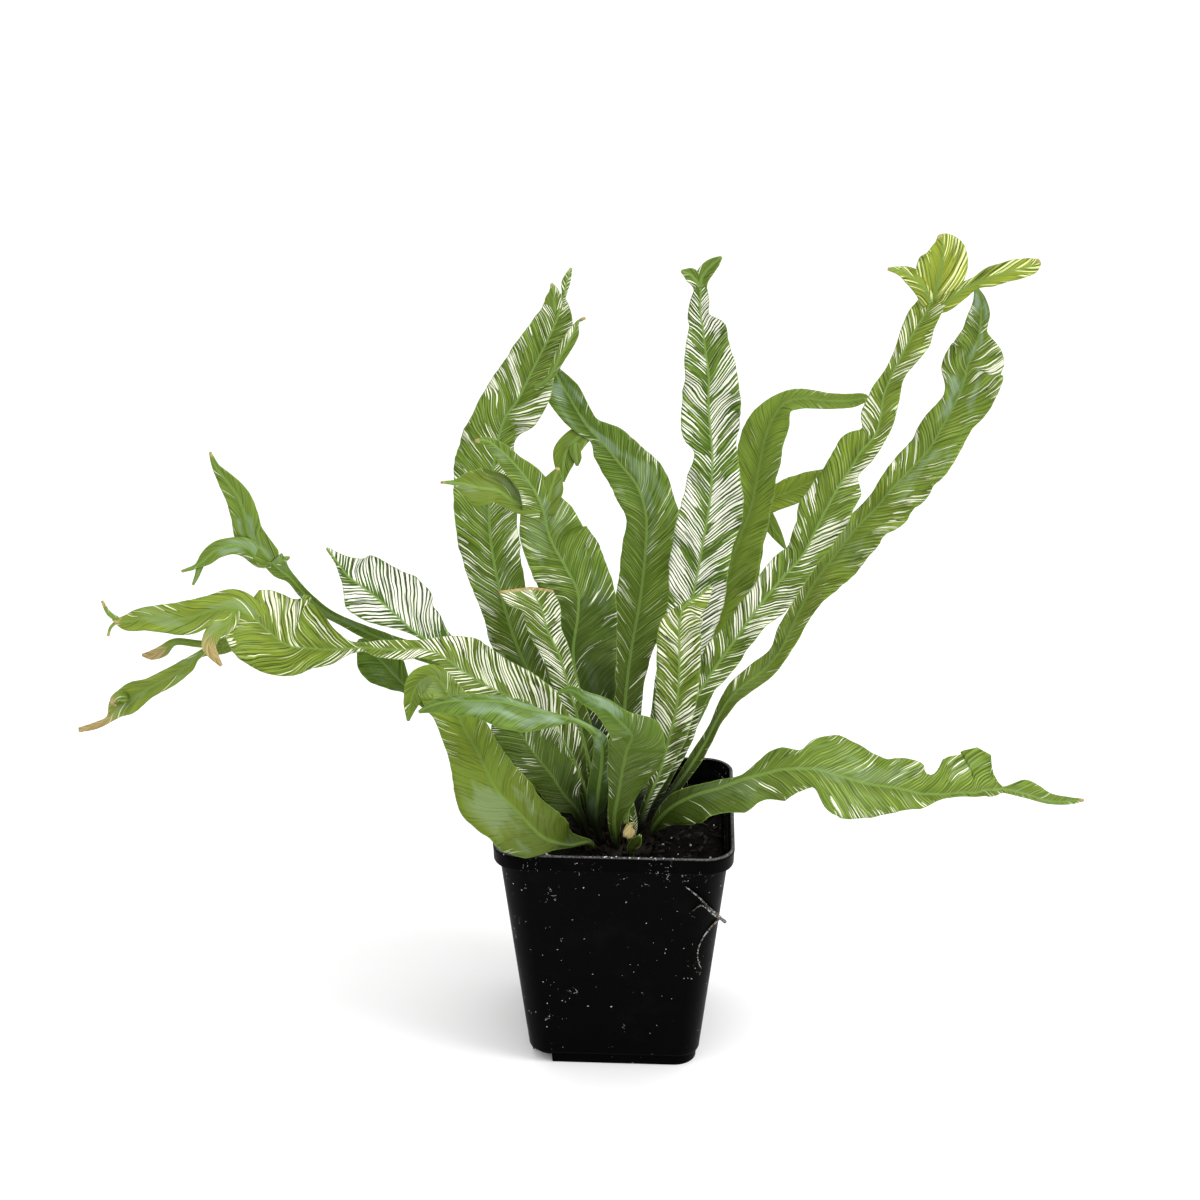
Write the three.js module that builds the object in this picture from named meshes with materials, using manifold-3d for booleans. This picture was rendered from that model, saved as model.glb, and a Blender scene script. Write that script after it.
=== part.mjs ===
// A variegated bird's nest fern in a square nursery pot.
// Millimetres, +Z up. The origin is the middle of the pot's underside, and the
// viewer of the front stands on the -Y side.
import * as THREE from "three";
import { mergeVertices } from "three/addons/utils/BufferGeometryUtils.js";
import Module from "manifold-3d";

const wasm = await Module();
wasm.setup();

// Clearance between pieces that rest against each other
const GAP = 0.3;

// Pot: half widths of its square plan, corner radii and heights
const POT = {
  height: 107,
  rimHalf: 50,
  rimRadius: 12.5,
  lip: 1.5,
  collarHeight: 7.5,
  collarStep: 2.7,
  collarBlend: 0.5,
  topRound: 0.8,
  topDip: 0.3,
  bodyRadius: 11,
  footHalf: 35.5,
  footRadius: 9.5,
  footHeight: 5,
  footStep: 1.3,
  footDraft: 0.4,
  footBlend: 0.6,
  footWidth: 4,
  wall: 1.3,
  floor: 1.6,
  recess: 2.4,
  padHalf: 9,
  padRadius: 4,
  drainRadius: 4,
  drainSides: 14,
  drainReach: 20,
  slotWidth: 13,
  slotHeight: 4.2,
};
// Length of the plain shapes that cut the pot's holes, well past its walls
const CUTTER = 12;
const CORNER_STEPS = 4;

// Soil: its mean level, and the lumps of its surface
const SOIL = {
  level: 96.5,
  edgeDip: 1.5,
  lump: 1.4,
  lumpStart: 3,
  fineLump: 0.7,
  rings: 8,
  sidePoints: 5,
};
// Lengths of the soil's waves in millimetres, from crest to crest
const LUMPS = { acrossX: 20, acrossY: 23, fineX: 7.6, fineY: 14.3, shift: 1.1 };

// Crown: the short upright stem that the fronds grow from, sunk in the soil
const CROWN = {
  x: 1,
  y: -8,
  halfX: 18,
  halfY: 21,
  depth: 7,
  sides: 24,
  bump: 0.05,
  swellings: 7,
};
// Shares of the crown's breadth at heights over the soil, from its underside up
const CROWN_PROFILE = [
  [0.92, -7],
  [1, -1],
  [0.94, 1.2],
  [0.78, 2.8],
  [0.5, 4],
  [0.2, 4.5],
];
const HOLE = { radius: 2.25, sides: 8, straight: 6, reach: 24 };

// Fronds: the step along the blade, the thickness at its edge, and the midrib
const STEP = 10;
const EDGE = 0.9;
const RIB = { base: 2.7, tip: 1.1, fade: 0.55 };
// Places across a blade and across a lobe, as shares of the half breadth
const BLADE_ACROSS = [-1, -0.55, 0, 0.55, 1];
const LOBE_ACROSS = [-1, 0, 1];
// Waves start past the foot, are given for one half breadth, and differ at the
// two margins by a lag in radians
const WAVE_START = 25;
const WAVE_HALF = 12;
const WAVE_LAG = 2.2;
const STALK_HALF = 1.5;
const LEAST_HALF = 0.5;
// Towards the viewer of the front, who looks down a little
const FRONT = new THREE.Vector3(0.05, -0.938, 0.344);

// Each point of a spine is x, y, z of the midrib, the blade's breadth left and
// right of it as the front view shows them, and the turn in degrees, by which
// the right edge leans back from the viewer. Left and right are as seen by one
// who looks along the frond from its foot. channel is how far the edges rise
// beside the midrib, as a share of the breadth, and wave and pitch are the
// height and length of the margin's waves.
const FRONDS = [
  {
    name: "frond_front_left_broad",
    color: 0x7fa53a,
    channel: 0.1,
    wave: 1.6,
    pitch: 34,
    phase: 0.4,
    foot: [-7, -22, 95],
    spine: [
      [-11, -29, 103, 1, 1.5, 5],
      [-18, -38, 106, 1, 6, 5],
      [-24, -47, 112, 3.5, 10, 10],
      [-29, -53, 118, 10.5, 11, 15],
      [-35, -57, 127, 15.5, 10.5, 15],
      [-40, -59, 134, 15, 11.5, 15],
      [-46, -59, 141, 16, 11.5, 10],
      [-50, -58, 149, 14, 10, 10],
      [-54, -56, 157, 11.5, 9, 10],
      [-59, -51, 163, 9.5, 9, 10],
      [-63, -47, 170, 9, 8, 10],
      [-67, -44, 177, 10.5, 5.5, 10],
      [-72, -42, 182, 9.5, 5, 10],
      [-78, -42, 179, 5.5, 5, 10],
      [-81, -45, 172, 3.5, 3, 10],
      [-82, -48, 165, 0.5, 0.5, 10],
    ],
  },
  {
    name: "frond_low_left_smooth",
    color: 0x5f9a4a,
    channel: -0.12,
    wave: 1,
    pitch: 40,
    phase: 1,
    foot: [-5, -20, 95],
    spine: [
      [-8, -24, 110, 2.5, 2, 0],
      [-7, -29, 125, 4.5, 4.5, 0],
      [-5, -36, 142, 4, 4, 0],
      [-5, -42, 154, 3, 3.5, 5],
      [-8, -49, 163, 1.5, 1.5, 20],
      [-15, -53, 169, 1, 1, 30],
      [-24, -57, 173, 4.5, 1, 35],
      [-34, -60, 177, 8.5, 2, 35],
      [-43, -62, 180, 9, 2.5, 35],
      [-53, -64, 181, 5.5, 3, 35],
      [-63, -65, 181, 4.5, 2.5, 35],
      [-70, -65, 179, 2.5, 2, 30],
      [-75, -64, 176, 0.5, 0.5, 30],
    ],
  },
  {
    name: "frond_front_centre_recurved",
    color: 0x6c9f3f,
    channel: -0.12,
    wave: 1.4,
    pitch: 30,
    phase: 2,
    foot: [1, -24, 95],
    spine: [
      [0, -34, 116, 2.5, 3.5, 0],
      [2, -40, 131, 4, 8, 0],
      [4, -46, 145, 6.5, 13, 0],
      [6, -53, 157, 8, 15, 0],
      [8, -60, 166, 8, 12, 0],
      [4, -68, 175, 6, 5.5, 0],
      [-3, -71, 183, 4, 3.5, 10],
      [-10, -72, 187, 2.5, 2.5, 10],
      [-15, -72, 190, 1.5, 1.5, 10],
      [-20, -72, 189, 0.5, 0.5, 10],
    ],
  },
  {
    name: "frond_front_left_striped",
    color: 0x6f9c3c,
    channel: 0.12,
    wave: 2,
    pitch: 30,
    phase: 0,
    foot: [-10.5, -16.5, 95],
    spine: [
      [-16, -24, 115, 2, 2.5, 12],
      [-21, -28, 124, 7, 8, 12],
      [-26, -32, 135, 8, 10.5, 12],
      [-32, -35, 145, 10, 12.5, 12],
      [-38, -37, 156, 10.5, 12, 12],
      [-43, -38, 164, 9, 9.5, 12],
      [-47, -38, 169, 3, 3, 12],
    ],
  },
  {
    name: "frond_long_left_forked",
    color: 0x86ad4a,
    channel: 0.14,
    wave: 2.4,
    pitch: 36,
    phase: 1.2,
    foot: [-9.5, -12, 95],
    spine: [
      [-13, -17, 121, 2, 2, 10],
      [-21, -21, 144, 6, 7.5, 10],
      [-31, -24, 158, 6.5, 10.5, 15],
      [-42, -26, 166, 7.5, 12.5, 15],
      [-55, -28, 174, 9, 13.5, 20],
      [-63, -29, 180, 6, 12, 25],
      [-71, -29, 186, 3, 7.5, 40],
      [-79, -28, 188, 4, 4, 30],
      [-87, -27, 187, 4, 4, 20],
      [-96, -26, 187, 3.5, 3.5, 20],
      [-103, -25, 187, 1.5, 2, 20],
      [-108, -24, 186, 2, 3, 20],
      [-117, -23, 185, 7, 9, 20],
      [-125, -22, 185, 10, 16.5, 20],
      [-134, -22, 186, 13.5, 19.5, 20],
      [-141, -22, 191, 15.5, 17.5, 20],
      [-147, -22, 197, 15.5, 14, 20],
      [-152, -22, 201, 14.5, 10, 20],
    ],
    lobes: [
      [
        [-145, -22, 195, 5.5, 5.5, 15],
        [-155, -24, 203, 7.5, 7.5, 15],
        [-165, -26, 202, 6.5, 6.5, 15],
        [-173, -26, 199, 7, 7, 15],
        [-184, -25, 198, 5.5, 5.5, 15],
        [-192, -25, 198, 5, 5, 15],
        [-199, -24, 196, 4, 4, 15],
        [-204, -23, 196, 1.5, 1.5, 15],
        [-206, -23, 197, 0.5, 0.5, 15],
      ],
      [
        [-155, -24, 203, 3, 3, 0],
        [-157, -30, 199, 4, 4, 0],
        [-161, -36, 197, 3.5, 3.5, 0],
        [-163, -38, 192, 3, 3, 0],
        [-161, -39, 188, 2, 2, 0],
        [-158, -40, 184, 0.5, 0.5, 0],
      ],
      [
        [-145, -22, 194, 3.5, 3.5, 15],
        [-155, -20, 188, 3.5, 3.5, 15],
        [-162, -18, 184, 3.5, 3.5, 15],
        [-173, -16, 179, 1.5, 1.5, 15],
        [-179, -14, 173, 3, 3, 15],
        [-187, -12, 167, 4, 4, 15],
        [-197, -11, 161, 4.5, 4.5, 15],
        [-205, -10, 156, 6, 6, 15],
        [-211, -10, 152, 4.5, 4.5, 15],
        [-216, -10, 146, 1.5, 1.5, 15],
        [-222, -10, 143, 1.5, 1.5, 15],
        [-229, -10, 141, 1, 1, 15],
      ],
      [
        [-162, -18, 184, 1.5, 1.5, 10],
        [-172, -19, 185, 1.5, 1.5, 10],
        [-182, -20, 186, 1.5, 1.5, 10],
        [-187, -20, 182, 2.5, 2.5, 10],
        [-192, -20, 180, 2, 2, 10],
        [-196, -20, 180, 0.5, 0.5, 10],
      ],
    ],
  },
  {
    name: "frond_left_white_striped",
    color: 0xb4c98a,
    channel: 0.14,
    wave: 1.8,
    pitch: 32,
    phase: 0.6,
    foot: [-10, -7, 95],
    spine: [
      [-24, -8, 138, 2.5, 2.5, 15],
      [-49, -10, 163, 3.5, 3.5, 15],
      [-63, -11, 173, 4, 4, 20],
      [-73, -12, 181, 3.5, 7.5, 25],
      [-80, -13, 187, 1, 11.5, 25],
      [-85, -13, 191, 2, 13, 25],
      [-91, -13, 197, 6, 15, 25],
      [-99, -14, 205, 10.5, 14.5, 25],
      [-105, -14, 210, 11.5, 13, 25],
      [-110, -14, 214, 3.5, 10, 20],
      [-114, -14, 220, 1, 4, 20],
      [-118, -14, 226, 0.5, 0.5, 20],
    ],
  },
  {
    name: "frond_left_crested",
    color: 0x86b24c,
    channel: 0.1,
    wave: 1,
    pitch: 34,
    phase: 0,
    foot: [-9, -1.5, 95],
    spine: [
      [-16, 0, 125, 2, 2, 20],
      [-31, 2, 152, 3.5, 3.5, 22],
      [-54, 2, 165, 4, 4, 25],
      [-79, 0, 174, 3.5, 3.5, 25],
      [-98, -1, 181, 3, 3, 25],
      [-106, -2, 185, 2.5, 2.5, 25],
      [-114, -4, 190, 2, 2, 25],
      [-122, -5, 195, 2, 2, 22],
      [-130, -6, 203, 2, 2, 20],
      [-135, -7, 210, 2, 2, 15],
      [-139, -8, 214, 3.5, 4, 8],
      [-142, -9, 218, 3.5, 5.5, 0],
    ],
    lobes: [
      [
        [-142, -9, 218, 3.5, 3.5, 0],
        [-143, -10, 220, 5, 5, 0],
        [-150, -11, 230, 6, 6, 0],
        [-151, -13, 239, 5.5, 5.5, 0],
        [-153, -14, 247, 5, 5, 0],
        [-157, -15, 254, 3.5, 3.5, 0],
        [-161, -15, 260, 1.5, 1.5, 0],
        [-163, -15, 266, 0.5, 0.5, 0],
      ],
      [
        [-142, -9, 218, 2.5, 2.5, 5],
        [-146, -10, 219, 3.5, 3.5, 5],
        [-151, -13, 225, 4, 4, 5],
        [-156, -16, 227, 3.5, 3.5, 5],
        [-162, -19, 226, 3.5, 3.5, 5],
        [-166, -21, 223, 3, 3, 5],
        [-170, -22, 220, 1, 1, 5],
        [-176, -23, 218, 0.5, 0.5, 5],
      ],
      [
        [-162, -19, 226, 1.5, 1.5, 0],
        [-168, -21, 221, 1.5, 1.5, 0],
        [-170, -22, 216, 1, 1, 0],
        [-172, -22, 212, 0.5, 0.5, 0],
      ],
      [
        [-142, -9, 218, 2.5, 2.5, 0],
        [-139, -8, 218, 2, 2, 0],
        [-135, -6, 219, 0.5, 0.5, 0],
      ],
    ],
  },
  {
    name: "frond_low_left_round",
    color: 0x4f8a46,
    channel: 0.12,
    wave: 1.2,
    pitch: 38,
    phase: 0.9,
    foot: [-13.5, -3.5, 95],
    spine: [
      [-25, 0, 108, 3, 3, 20],
      [-47, 6, 125, 5, 5, 25],
      [-71, 9, 140, 4.5, 4.5, 25],
      [-81, 10, 147, 3, 3, 25],
      [-90, 10, 154, 2.5, 2.5, 25],
      [-95, 10, 159, 6, 5.5, 25],
      [-100, 10, 165, 9.5, 7.5, 25],
      [-106, 9, 172, 8.5, 7.5, 20],
      [-111, 8, 177, 1, 1, 20],
    ],
  },
  {
    name: "frond_left_tall",
    color: 0x7fa95a,
    channel: 0.15,
    wave: 2.2,
    pitch: 38,
    phase: 0.3,
    foot: [-5, 2, 95],
    spine: [
      [-14, 8, 112, 3.5, 3.5, 12],
      [-28, 12, 140, 8, 7, 12],
      [-43, 18, 169, 9.5, 7.5, 12],
      [-51, 22, 194, 10.5, 10.5, 12],
      [-55, 26, 213, 13.5, 11.5, 12],
      [-56, 28, 230, 15.5, 12, 12],
      [-54, 31, 249, 16, 10, 12],
      [-52, 32, 260, 15, 7, 12],
      [-49, 33, 269, 13.5, 11, 12],
      [-44, 34, 276, 13.5, 11.5, 12],
      [-38, 34, 288, 12.5, 10, 12],
      [-32, 34, 300, 10.5, 8.5, 12],
      [-27, 34, 311, 8, 6.5, 12],
      [-25, 34, 319, 5.5, 2.5, 12],
      [-24, 34, 321, 1, 1, 12],
      [-23, 34, 326, 2, 1.5, 12],
      [-21, 34, 332, 0.5, 0.5, 12],
    ],
    lobes: [
      [
        [-27, 34, 310, 3.5, 3.5, 0],
        [-28, 33, 318, 4, 3.5, 0],
        [-28, 32, 323, 2, 2, 0],
        [-29, 32, 326, 0.5, 0.5, 0],
      ],
      [
        [-37, 34, 282, 2, 2, 0],
        [-31, 31, 286, 1.5, 1.5, 0],
        [-25, 29, 297, 2.5, 2.5, 0],
        [-20, 28, 306, 2.5, 2.5, 0],
        [-18, 28, 311, 0.5, 0.5, 0],
        [-15, 27, 313, 0.5, 0.5, 0],
      ],
    ],
  },
  {
    name: "frond_centre_left_creased",
    color: 0x6f9f4a,
    channel: 0.12,
    wave: 2,
    pitch: 36,
    phase: 1.6,
    foot: [-5, -5, 95],
    spine: [
      [-7, -3, 117, 3, 3.5, 5],
      [-13, 0, 146, 9.5, 11, 5],
      [-19, 3, 174, 12.5, 16, 5],
      [-17, 4, 192, 12.5, 16, 5],
      [-17, 4, 202, 12.5, 14.5, 5],
      [-22, 2, 214, 14, 16.5, 5],
      [-28, -2, 228, 12.5, 15, 5],
      [-30, -5, 239, 10, 11, 5],
      [-32, -7, 246, 7.5, 7.5, 5],
      [-36, -9, 254, 5.5, 6.5, 5],
      [-42, -12, 263, 5, 3.5, 5],
      [-47, -15, 269, 3.5, 3, 5],
      [-52, -17, 273, 2, 1.5, 5],
      [-56, -18, 273, 0.5, 0.5, 5],
    ],
    lobes: [
      [
        [-30, -5, 239, 4, 4, 0],
        [-27, -6, 250, 5, 5, 0],
        [-25, -6, 256, 2.5, 2.5, 0],
        [-24, -6, 259, 0.5, 0.5, 0],
      ],
      [
        [-31, -6, 241, 4, 4, 10],
        [-41, -9, 245, 4, 5, 10],
        [-48, -13, 251, 5, 7, 10],
        [-55, -16, 253, 7, 8, 10],
        [-60, -18, 255, 5, 5, 10],
        [-65, -19, 256, 1, 1, 10],
        [-70, -19, 256, 0.5, 0.5, 10],
      ],
    ],
  },
  {
    name: "frond_centre_small_striped",
    color: 0xa9c07c,
    channel: 0.14,
    wave: 1.4,
    pitch: 28,
    phase: 0,
    foot: [-5, -12, 95],
    spine: [
      [-10, -10, 123, 2, 2, 5],
      [-16, -9, 149, 5, 5, 5],
      [-21, -9, 168, 6.5, 4, 5],
      [-24, -9, 179, 7, 4.5, 5],
      [-29, -8, 190, 7.5, 5.5, 5],
      [-31, -8, 198, 8, 7, 5],
      [-33, -8, 203, 12.5, 7.5, 5],
      [-35, -8, 206, 13, 7.5, 5],
    ],
  },
  {
    name: "frond_centre_tall_green",
    color: 0x5f9643,
    channel: 0.14,
    wave: 2.2,
    pitch: 40,
    phase: 0.8,
    foot: [1, 2, 95],
    spine: [
      [2, 8, 115, 4, 4, 3],
      [2, 18, 141, 6, 7, 3],
      [4, 28, 163, 7, 8.5, 3],
      [8, 38, 187, 10.5, 13, 3],
      [10, 44, 208, 10, 12.5, 3],
      [10, 48, 222, 9, 14.5, 3],
      [6, 52, 234, 11, 13.5, 3],
      [-2, 56, 243, 8.5, 12, 3],
      [-8, 58, 250, 7, 10.5, 3],
      [-12, 59, 254, 3.5, 8, 3],
      [-16, 60, 258, 5, 5.5, 3],
      [-20, 61, 264, 8, 5.5, 3],
      [-24, 61, 271, 8.5, 6, 3],
      [-28, 61, 278, 8.5, 4.5, 3],
      [-31, 61, 285, 5, 1.5, 3],
      [-33, 61, 291, 0.5, 0.5, 3],
    ],
    lobes: [
      [
        [-15, 60, 257, 3.5, 3.5, 0],
        [-21, 57, 253, 5, 5, 0],
        [-25, 55, 248, 5.5, 5.5, 0],
        [-26, 52, 243, 4, 4, 0],
        [-26, 50, 236, 0.5, 0.5, 0],
      ],
      [
        [-21, 57, 253, 2, 2, 0],
        [-21, 54, 249, 2.5, 2.5, 0],
        [-20, 52, 246, 2, 2, 0],
        [-20, 51, 243, 0.5, 0.5, 0],
      ],
    ],
  },
  {
    name: "frond_centre_tall_striped",
    color: 0x9dbb72,
    channel: 0.16,
    wave: 2.4,
    pitch: 36,
    phase: 0,
    foot: [4, -3, 95],
    spine: [
      [14, 6, 124, 4, 4, -8],
      [22, 13, 153, 7, 8.5, -8],
      [27, 18, 174, 9.5, 11, -8],
      [31, 22, 195, 10, 13, -8],
      [33, 24, 206, 12.5, 13, -8],
      [35, 25, 219, 12.5, 13, -8],
      [37, 27, 232, 11.5, 14.5, -8],
      [38, 28, 245, 10.5, 13, -8],
      [38, 29, 256, 7.5, 10.5, -8],
      [37, 30, 266, 11.5, 12, -8],
      [36, 31, 278, 11, 13.5, -8],
      [36, 31, 287, 10, 12, -8],
      [34, 32, 301, 8, 10, -8],
      [33, 32, 309, 5.5, 9.5, -8],
      [32, 32, 314, 5, 3.5, -8],
      [32, 32, 320, 4, 3.5, -8],
      [32, 32, 325, 2.5, 2.5, -8],
    ],
    lobes: [
      [
        [32, 32, 321, 2.5, 2.5, 0],
        [31, 32, 326, 2.5, 2.5, 0],
        [28, 31, 330, 3, 3, 0],
        [24, 30, 332, 0.5, 0.5, 0],
      ],
      [
        [32, 32, 321, 2.5, 2.5, 0],
        [32, 32, 328, 3, 3, 0],
        [35, 31, 333, 3, 3, 0],
        [38, 30, 336, 2, 2, 0],
        [40, 29, 338, 0.5, 0.5, 0],
      ],
    ],
  },
  {
    name: "frond_right_back_arching",
    color: 0x5d8f3e,
    channel: 0.12,
    wave: 2,
    pitch: 40,
    phase: 0.5,
    foot: [5.5, 3.5, 95],
    spine: [
      [18, 18, 117, 4, 4, -20],
      [30, 32, 145, 9, 9, -20],
      [41, 46, 173, 11.5, 11.5, -20],
      [48, 56, 200, 10.5, 12.5, -20],
      [56, 62, 223, 9.5, 8.5, -20],
      [59, 66, 240, 10.5, 9, -20],
      [61, 67, 251, 10.5, 8.5, -20],
      [64, 68, 260, 8.5, 8, -18],
      [69, 69, 267, 5, 5, -15],
      [76, 70, 269, 4.5, 4.5, -10],
      [89, 71, 268, 3.5, 3.5, -10],
      [98, 72, 268, 3, 3, -10],
      [104, 72, 269, 2, 2, -10],
      [107, 72, 266, 0.5, 0.5, -10],
    ],
  },
  {
    name: "frond_right_back_small",
    color: 0x8aa84a,
    channel: 0.1,
    wave: 1.2,
    pitch: 34,
    phase: 0,
    foot: [10, 5.5, 95.5],
    spine: [
      [26, 30, 119, 2.5, 2.5, -18],
      [41, 52, 151, 3.5, 4.5, -18],
      [50, 64, 178, 4.5, 8, -18],
      [55, 72, 197, 5.5, 6.5, -18],
      [59, 77, 209, 5.5, 4.5, -18],
      [62, 80, 218, 4.5, 5.5, -18],
      [73, 82, 223, 6, 6, -18],
      [82, 83, 227, 5.5, 5.5, -18],
      [92, 84, 234, 0.5, 0.5, -18],
    ],
    lobes: [
      [
        [61, 79, 216, 3.5, 3.5, 0],
        [64, 78, 211, 3.5, 3.5, 0],
        [68, 76, 205, 2.5, 2.5, 0],
        [72, 74, 199, 0.5, 0.5, 0],
      ],
    ],
  },
  {
    name: "frond_right_long_striped",
    color: 0xa3be78,
    channel: 0.16,
    wave: 2.4,
    pitch: 32,
    phase: 0.7,
    foot: [10, -5, 95],
    spine: [
      [20, -4, 121, 3, 3, -24],
      [27, -1, 138, 5, 4.5, -24],
      [33, 3, 155, 6, 4.5, -24],
      [43, 8, 171, 7, 6.5, -24],
      [49, 11, 179, 7, 7, -24],
      [55, 13, 188, 7.5, 7.5, -24],
      [63, 17, 198, 6.5, 9.5, -24],
      [70, 20, 206, 8, 10, -24],
      [77, 22, 214, 7.5, 7.5, -24],
      [82, 25, 224, 8, 9, -24],
      [86, 27, 232, 10.5, 11, -24],
      [92, 30, 243, 9.5, 10, -24],
      [96, 32, 249, 9, 4, -24],
      [100, 33, 256, 9, 6.5, -24],
      [106, 35, 263, 6.5, 5, -24],
      [108, 37, 271, 7.5, 5.5, -24],
      [109, 39, 279, 5, 6.5, -24],
      [113, 41, 289, 3.5, 5.5, -24],
      [117, 42, 298, 4, 7.5, -24],
      [121, 43, 306, 5, 7.5, -24],
      [125, 44, 313, 5.5, 6, -24],
      [127, 45, 318, 4.5, 6.5, -24],
    ],
    lobes: [
      [
        [127, 45, 316, 5, 5, 0],
        [128, 45, 318, 6, 6, 0],
        [129, 43, 325, 9, 9, 0],
        [130, 41, 333, 10.5, 10.5, 0],
        [130, 40, 340, 9, 9, 0],
        [129, 39, 344, 5, 5, 0],
        [128, 38, 346, 1, 1, 0],
      ],
      [
        [127, 45, 316, 4, 4, 0],
        [124, 43, 323, 4.5, 4.5, 0],
        [117, 41, 329, 3.5, 3.5, 0],
        [113, 40, 331, 2, 2, 0],
        [108, 39, 332, 0.5, 0.5, 0],
      ],
      [
        [127, 45, 316, 3.5, 3.5, -12],
        [132, 43, 317, 3.5, 3.5, -12],
        [138, 42, 322, 3.5, 3.5, -12],
        [144, 41, 326, 2.5, 2.5, -12],
        [150, 39, 329, 4, 4, -12],
        [159, 38, 332, 4.5, 4.5, -12],
        [166, 38, 334, 3.5, 3.5, -12],
        [169, 38, 336, 1, 1, -12],
      ],
    ],
  },
  {
    name: "frond_far_right_tall",
    color: 0x6d9b4c,
    channel: 0.14,
    wave: 2,
    pitch: 38,
    phase: 0,
    foot: [13, 1, 95],
    spine: [
      [32, 10, 122, 2.5, 2.5, -30],
      [38, 14, 131, 2.5, 2.5, -40],
      [44, 19, 142, 2.5, 2.5, -48],
      [48, 22, 148, 3, 3, -48],
      [54, 25, 153, 4, 4, -45],
      [62, 29, 158, 5, 5, -40],
      [69, 32, 166, 4, 4, -40],
      [73, 35, 174, 4.5, 4.5, -35],
      [77, 38, 182, 4, 5.5, -35],
      [82, 41, 192, 4.5, 8.5, -32],
      [88, 43, 201, 5.5, 10.5, -30],
      [94, 45, 209, 6.5, 11.5, -30],
      [102, 48, 219, 6, 13, -30],
      [109, 50, 226, 5.5, 12.5, -30],
      [115, 51, 234, 5.5, 12.5, -30],
      [123, 54, 242, 7.5, 13.5, -30],
      [131, 56, 251, 8.5, 12, -28],
      [137, 58, 262, 7.5, 11, -25],
      [142, 60, 272, 5.5, 13.5, -22],
      [145, 61, 281, 9.5, 16, -20],
      [146, 62, 287, 10.5, 14, -18],
      [149, 62, 293, 10, 5, -15],
      [150, 62, 302, 6.5, 3, -15],
      [150, 61, 309, 5.5, 3.5, -15],
      [149, 60, 315, 3, 2.5, -15],
      [147, 59, 320, 1, 1, -15],
    ],
  },
  {
    name: "frond_front_right_striped",
    color: 0xb2c684,
    channel: 0.14,
    wave: 1.2,
    pitch: 28,
    phase: 0,
    foot: [7, -15, 95],
    spine: [
      [14, -26, 122, 2, 2, -10],
      [19, -31, 138, 4, 4, -10],
      [22, -34, 152, 4.5, 6, -10],
      [25, -36, 167, 8.5, 7.5, -10],
      [26, -37, 180, 9, 8.5, -10],
      [26, -38, 195, 9, 8.5, -10],
      [26, -39, 206, 7, 8.5, -10],
      [28, -39, 213, 1.5, 8.5, -10],
      [34, -38, 217, 1, 4.5, -10],
      [38, -38, 221, 0.5, 1, -10],
    ],
  },
  {
    name: "frond_young_folded",
    color: 0xc9d2b4,
    channel: 0.1,
    wave: 0.2,
    pitch: 20,
    phase: 0,
    foot: [5, -19.5, 95],
    spine: [
      [8, -26, 109, 1.5, 1.5, 0],
      [7, -28, 119, 1.5, 1.5, 0],
      [6, -30, 123, 2, 1.5, 0],
      [5, -32, 120, 1.5, 1.5, 0],
      [5, -33, 114, 1, 1, 0],
    ],
    lobes: [
      [
        [8, -26, 109, 1.5, 1.5, 0],
        [7, -29, 111, 2, 2, 0],
        [6, -31, 109, 2.5, 2.5, 0],
        [5, -32, 107, 1.5, 1.5, 0],
      ],
    ],
  },
  {
    name: "frond_young_tip",
    color: 0x8a9a4a,
    channel: 0.1,
    wave: 0.2,
    pitch: 20,
    phase: 0,
    foot: [6.5, -26, 95],
    spine: [
      [7, -30, 101, 2, 2, 0],
      [9, -32, 105, 2.5, 2.5, 0],
      [11, -33, 109, 0.5, 0.5, 0],
    ],
  },
  {
    name: "frond_right_horizontal",
    color: 0x74993f,
    channel: 0.1,
    wave: 2.4,
    pitch: 46,
    phase: 0.5,
    foot: [13, -11, 95],
    spine: [
      [17, -15, 105, 2, 2.5, -20],
      [22, -20, 114, 4, 6.5, -20],
      [27, -24, 120, 4.5, 9.5, -20],
      [35, -28, 126, 3.5, 11, -20],
      [43, -31, 130, 3.5, 10, -20],
      [52, -33, 135, 2, 13, -20],
      [60, -34, 138, 5.5, 9.5, -20],
      [68, -35, 141, 8, 12, -20],
      [76, -36, 142, 7, 9, -20],
      [82, -36, 142, 13, 8, -20],
      [89, -36, 140, 15.5, 15.5, -20],
      [96, -36, 138, 15, 16.5, -20],
      [103, -36, 136, 12.5, 14, -20],
      [110, -36, 135, 10, 11, -20],
      [117, -36, 134, 11.5, 9, -20],
      [125, -36, 132, 10, 6, -20],
      [129, -36, 132, 7.5, 4, -20],
      [135, -36, 132, 13.5, 1.5, -20],
      [141, -36, 133, 15, 1.5, -20],
      [147, -36, 133, 18, 1.5, -20],
      [151, -35, 134, 16.5, 2.5, -20],
      [154, -35, 134, 9.5, 2.5, -20],
      [158, -34, 134, 1, 1.5, -20],
      [167, -34, 132, 5.5, 1.5, -20],
      [177, -34, 129, 3.5, 1, -20],
      [185, -34, 129, 2, 1, -20],
      [191, -34, 130, 0.5, 0.5, -20],
    ],
  },
];

const point = (x, y, z) => new THREE.Vector3(x, y, z);
const smooth = (value) => THREE.MathUtils.smoothstep(value, 0, 1);

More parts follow.
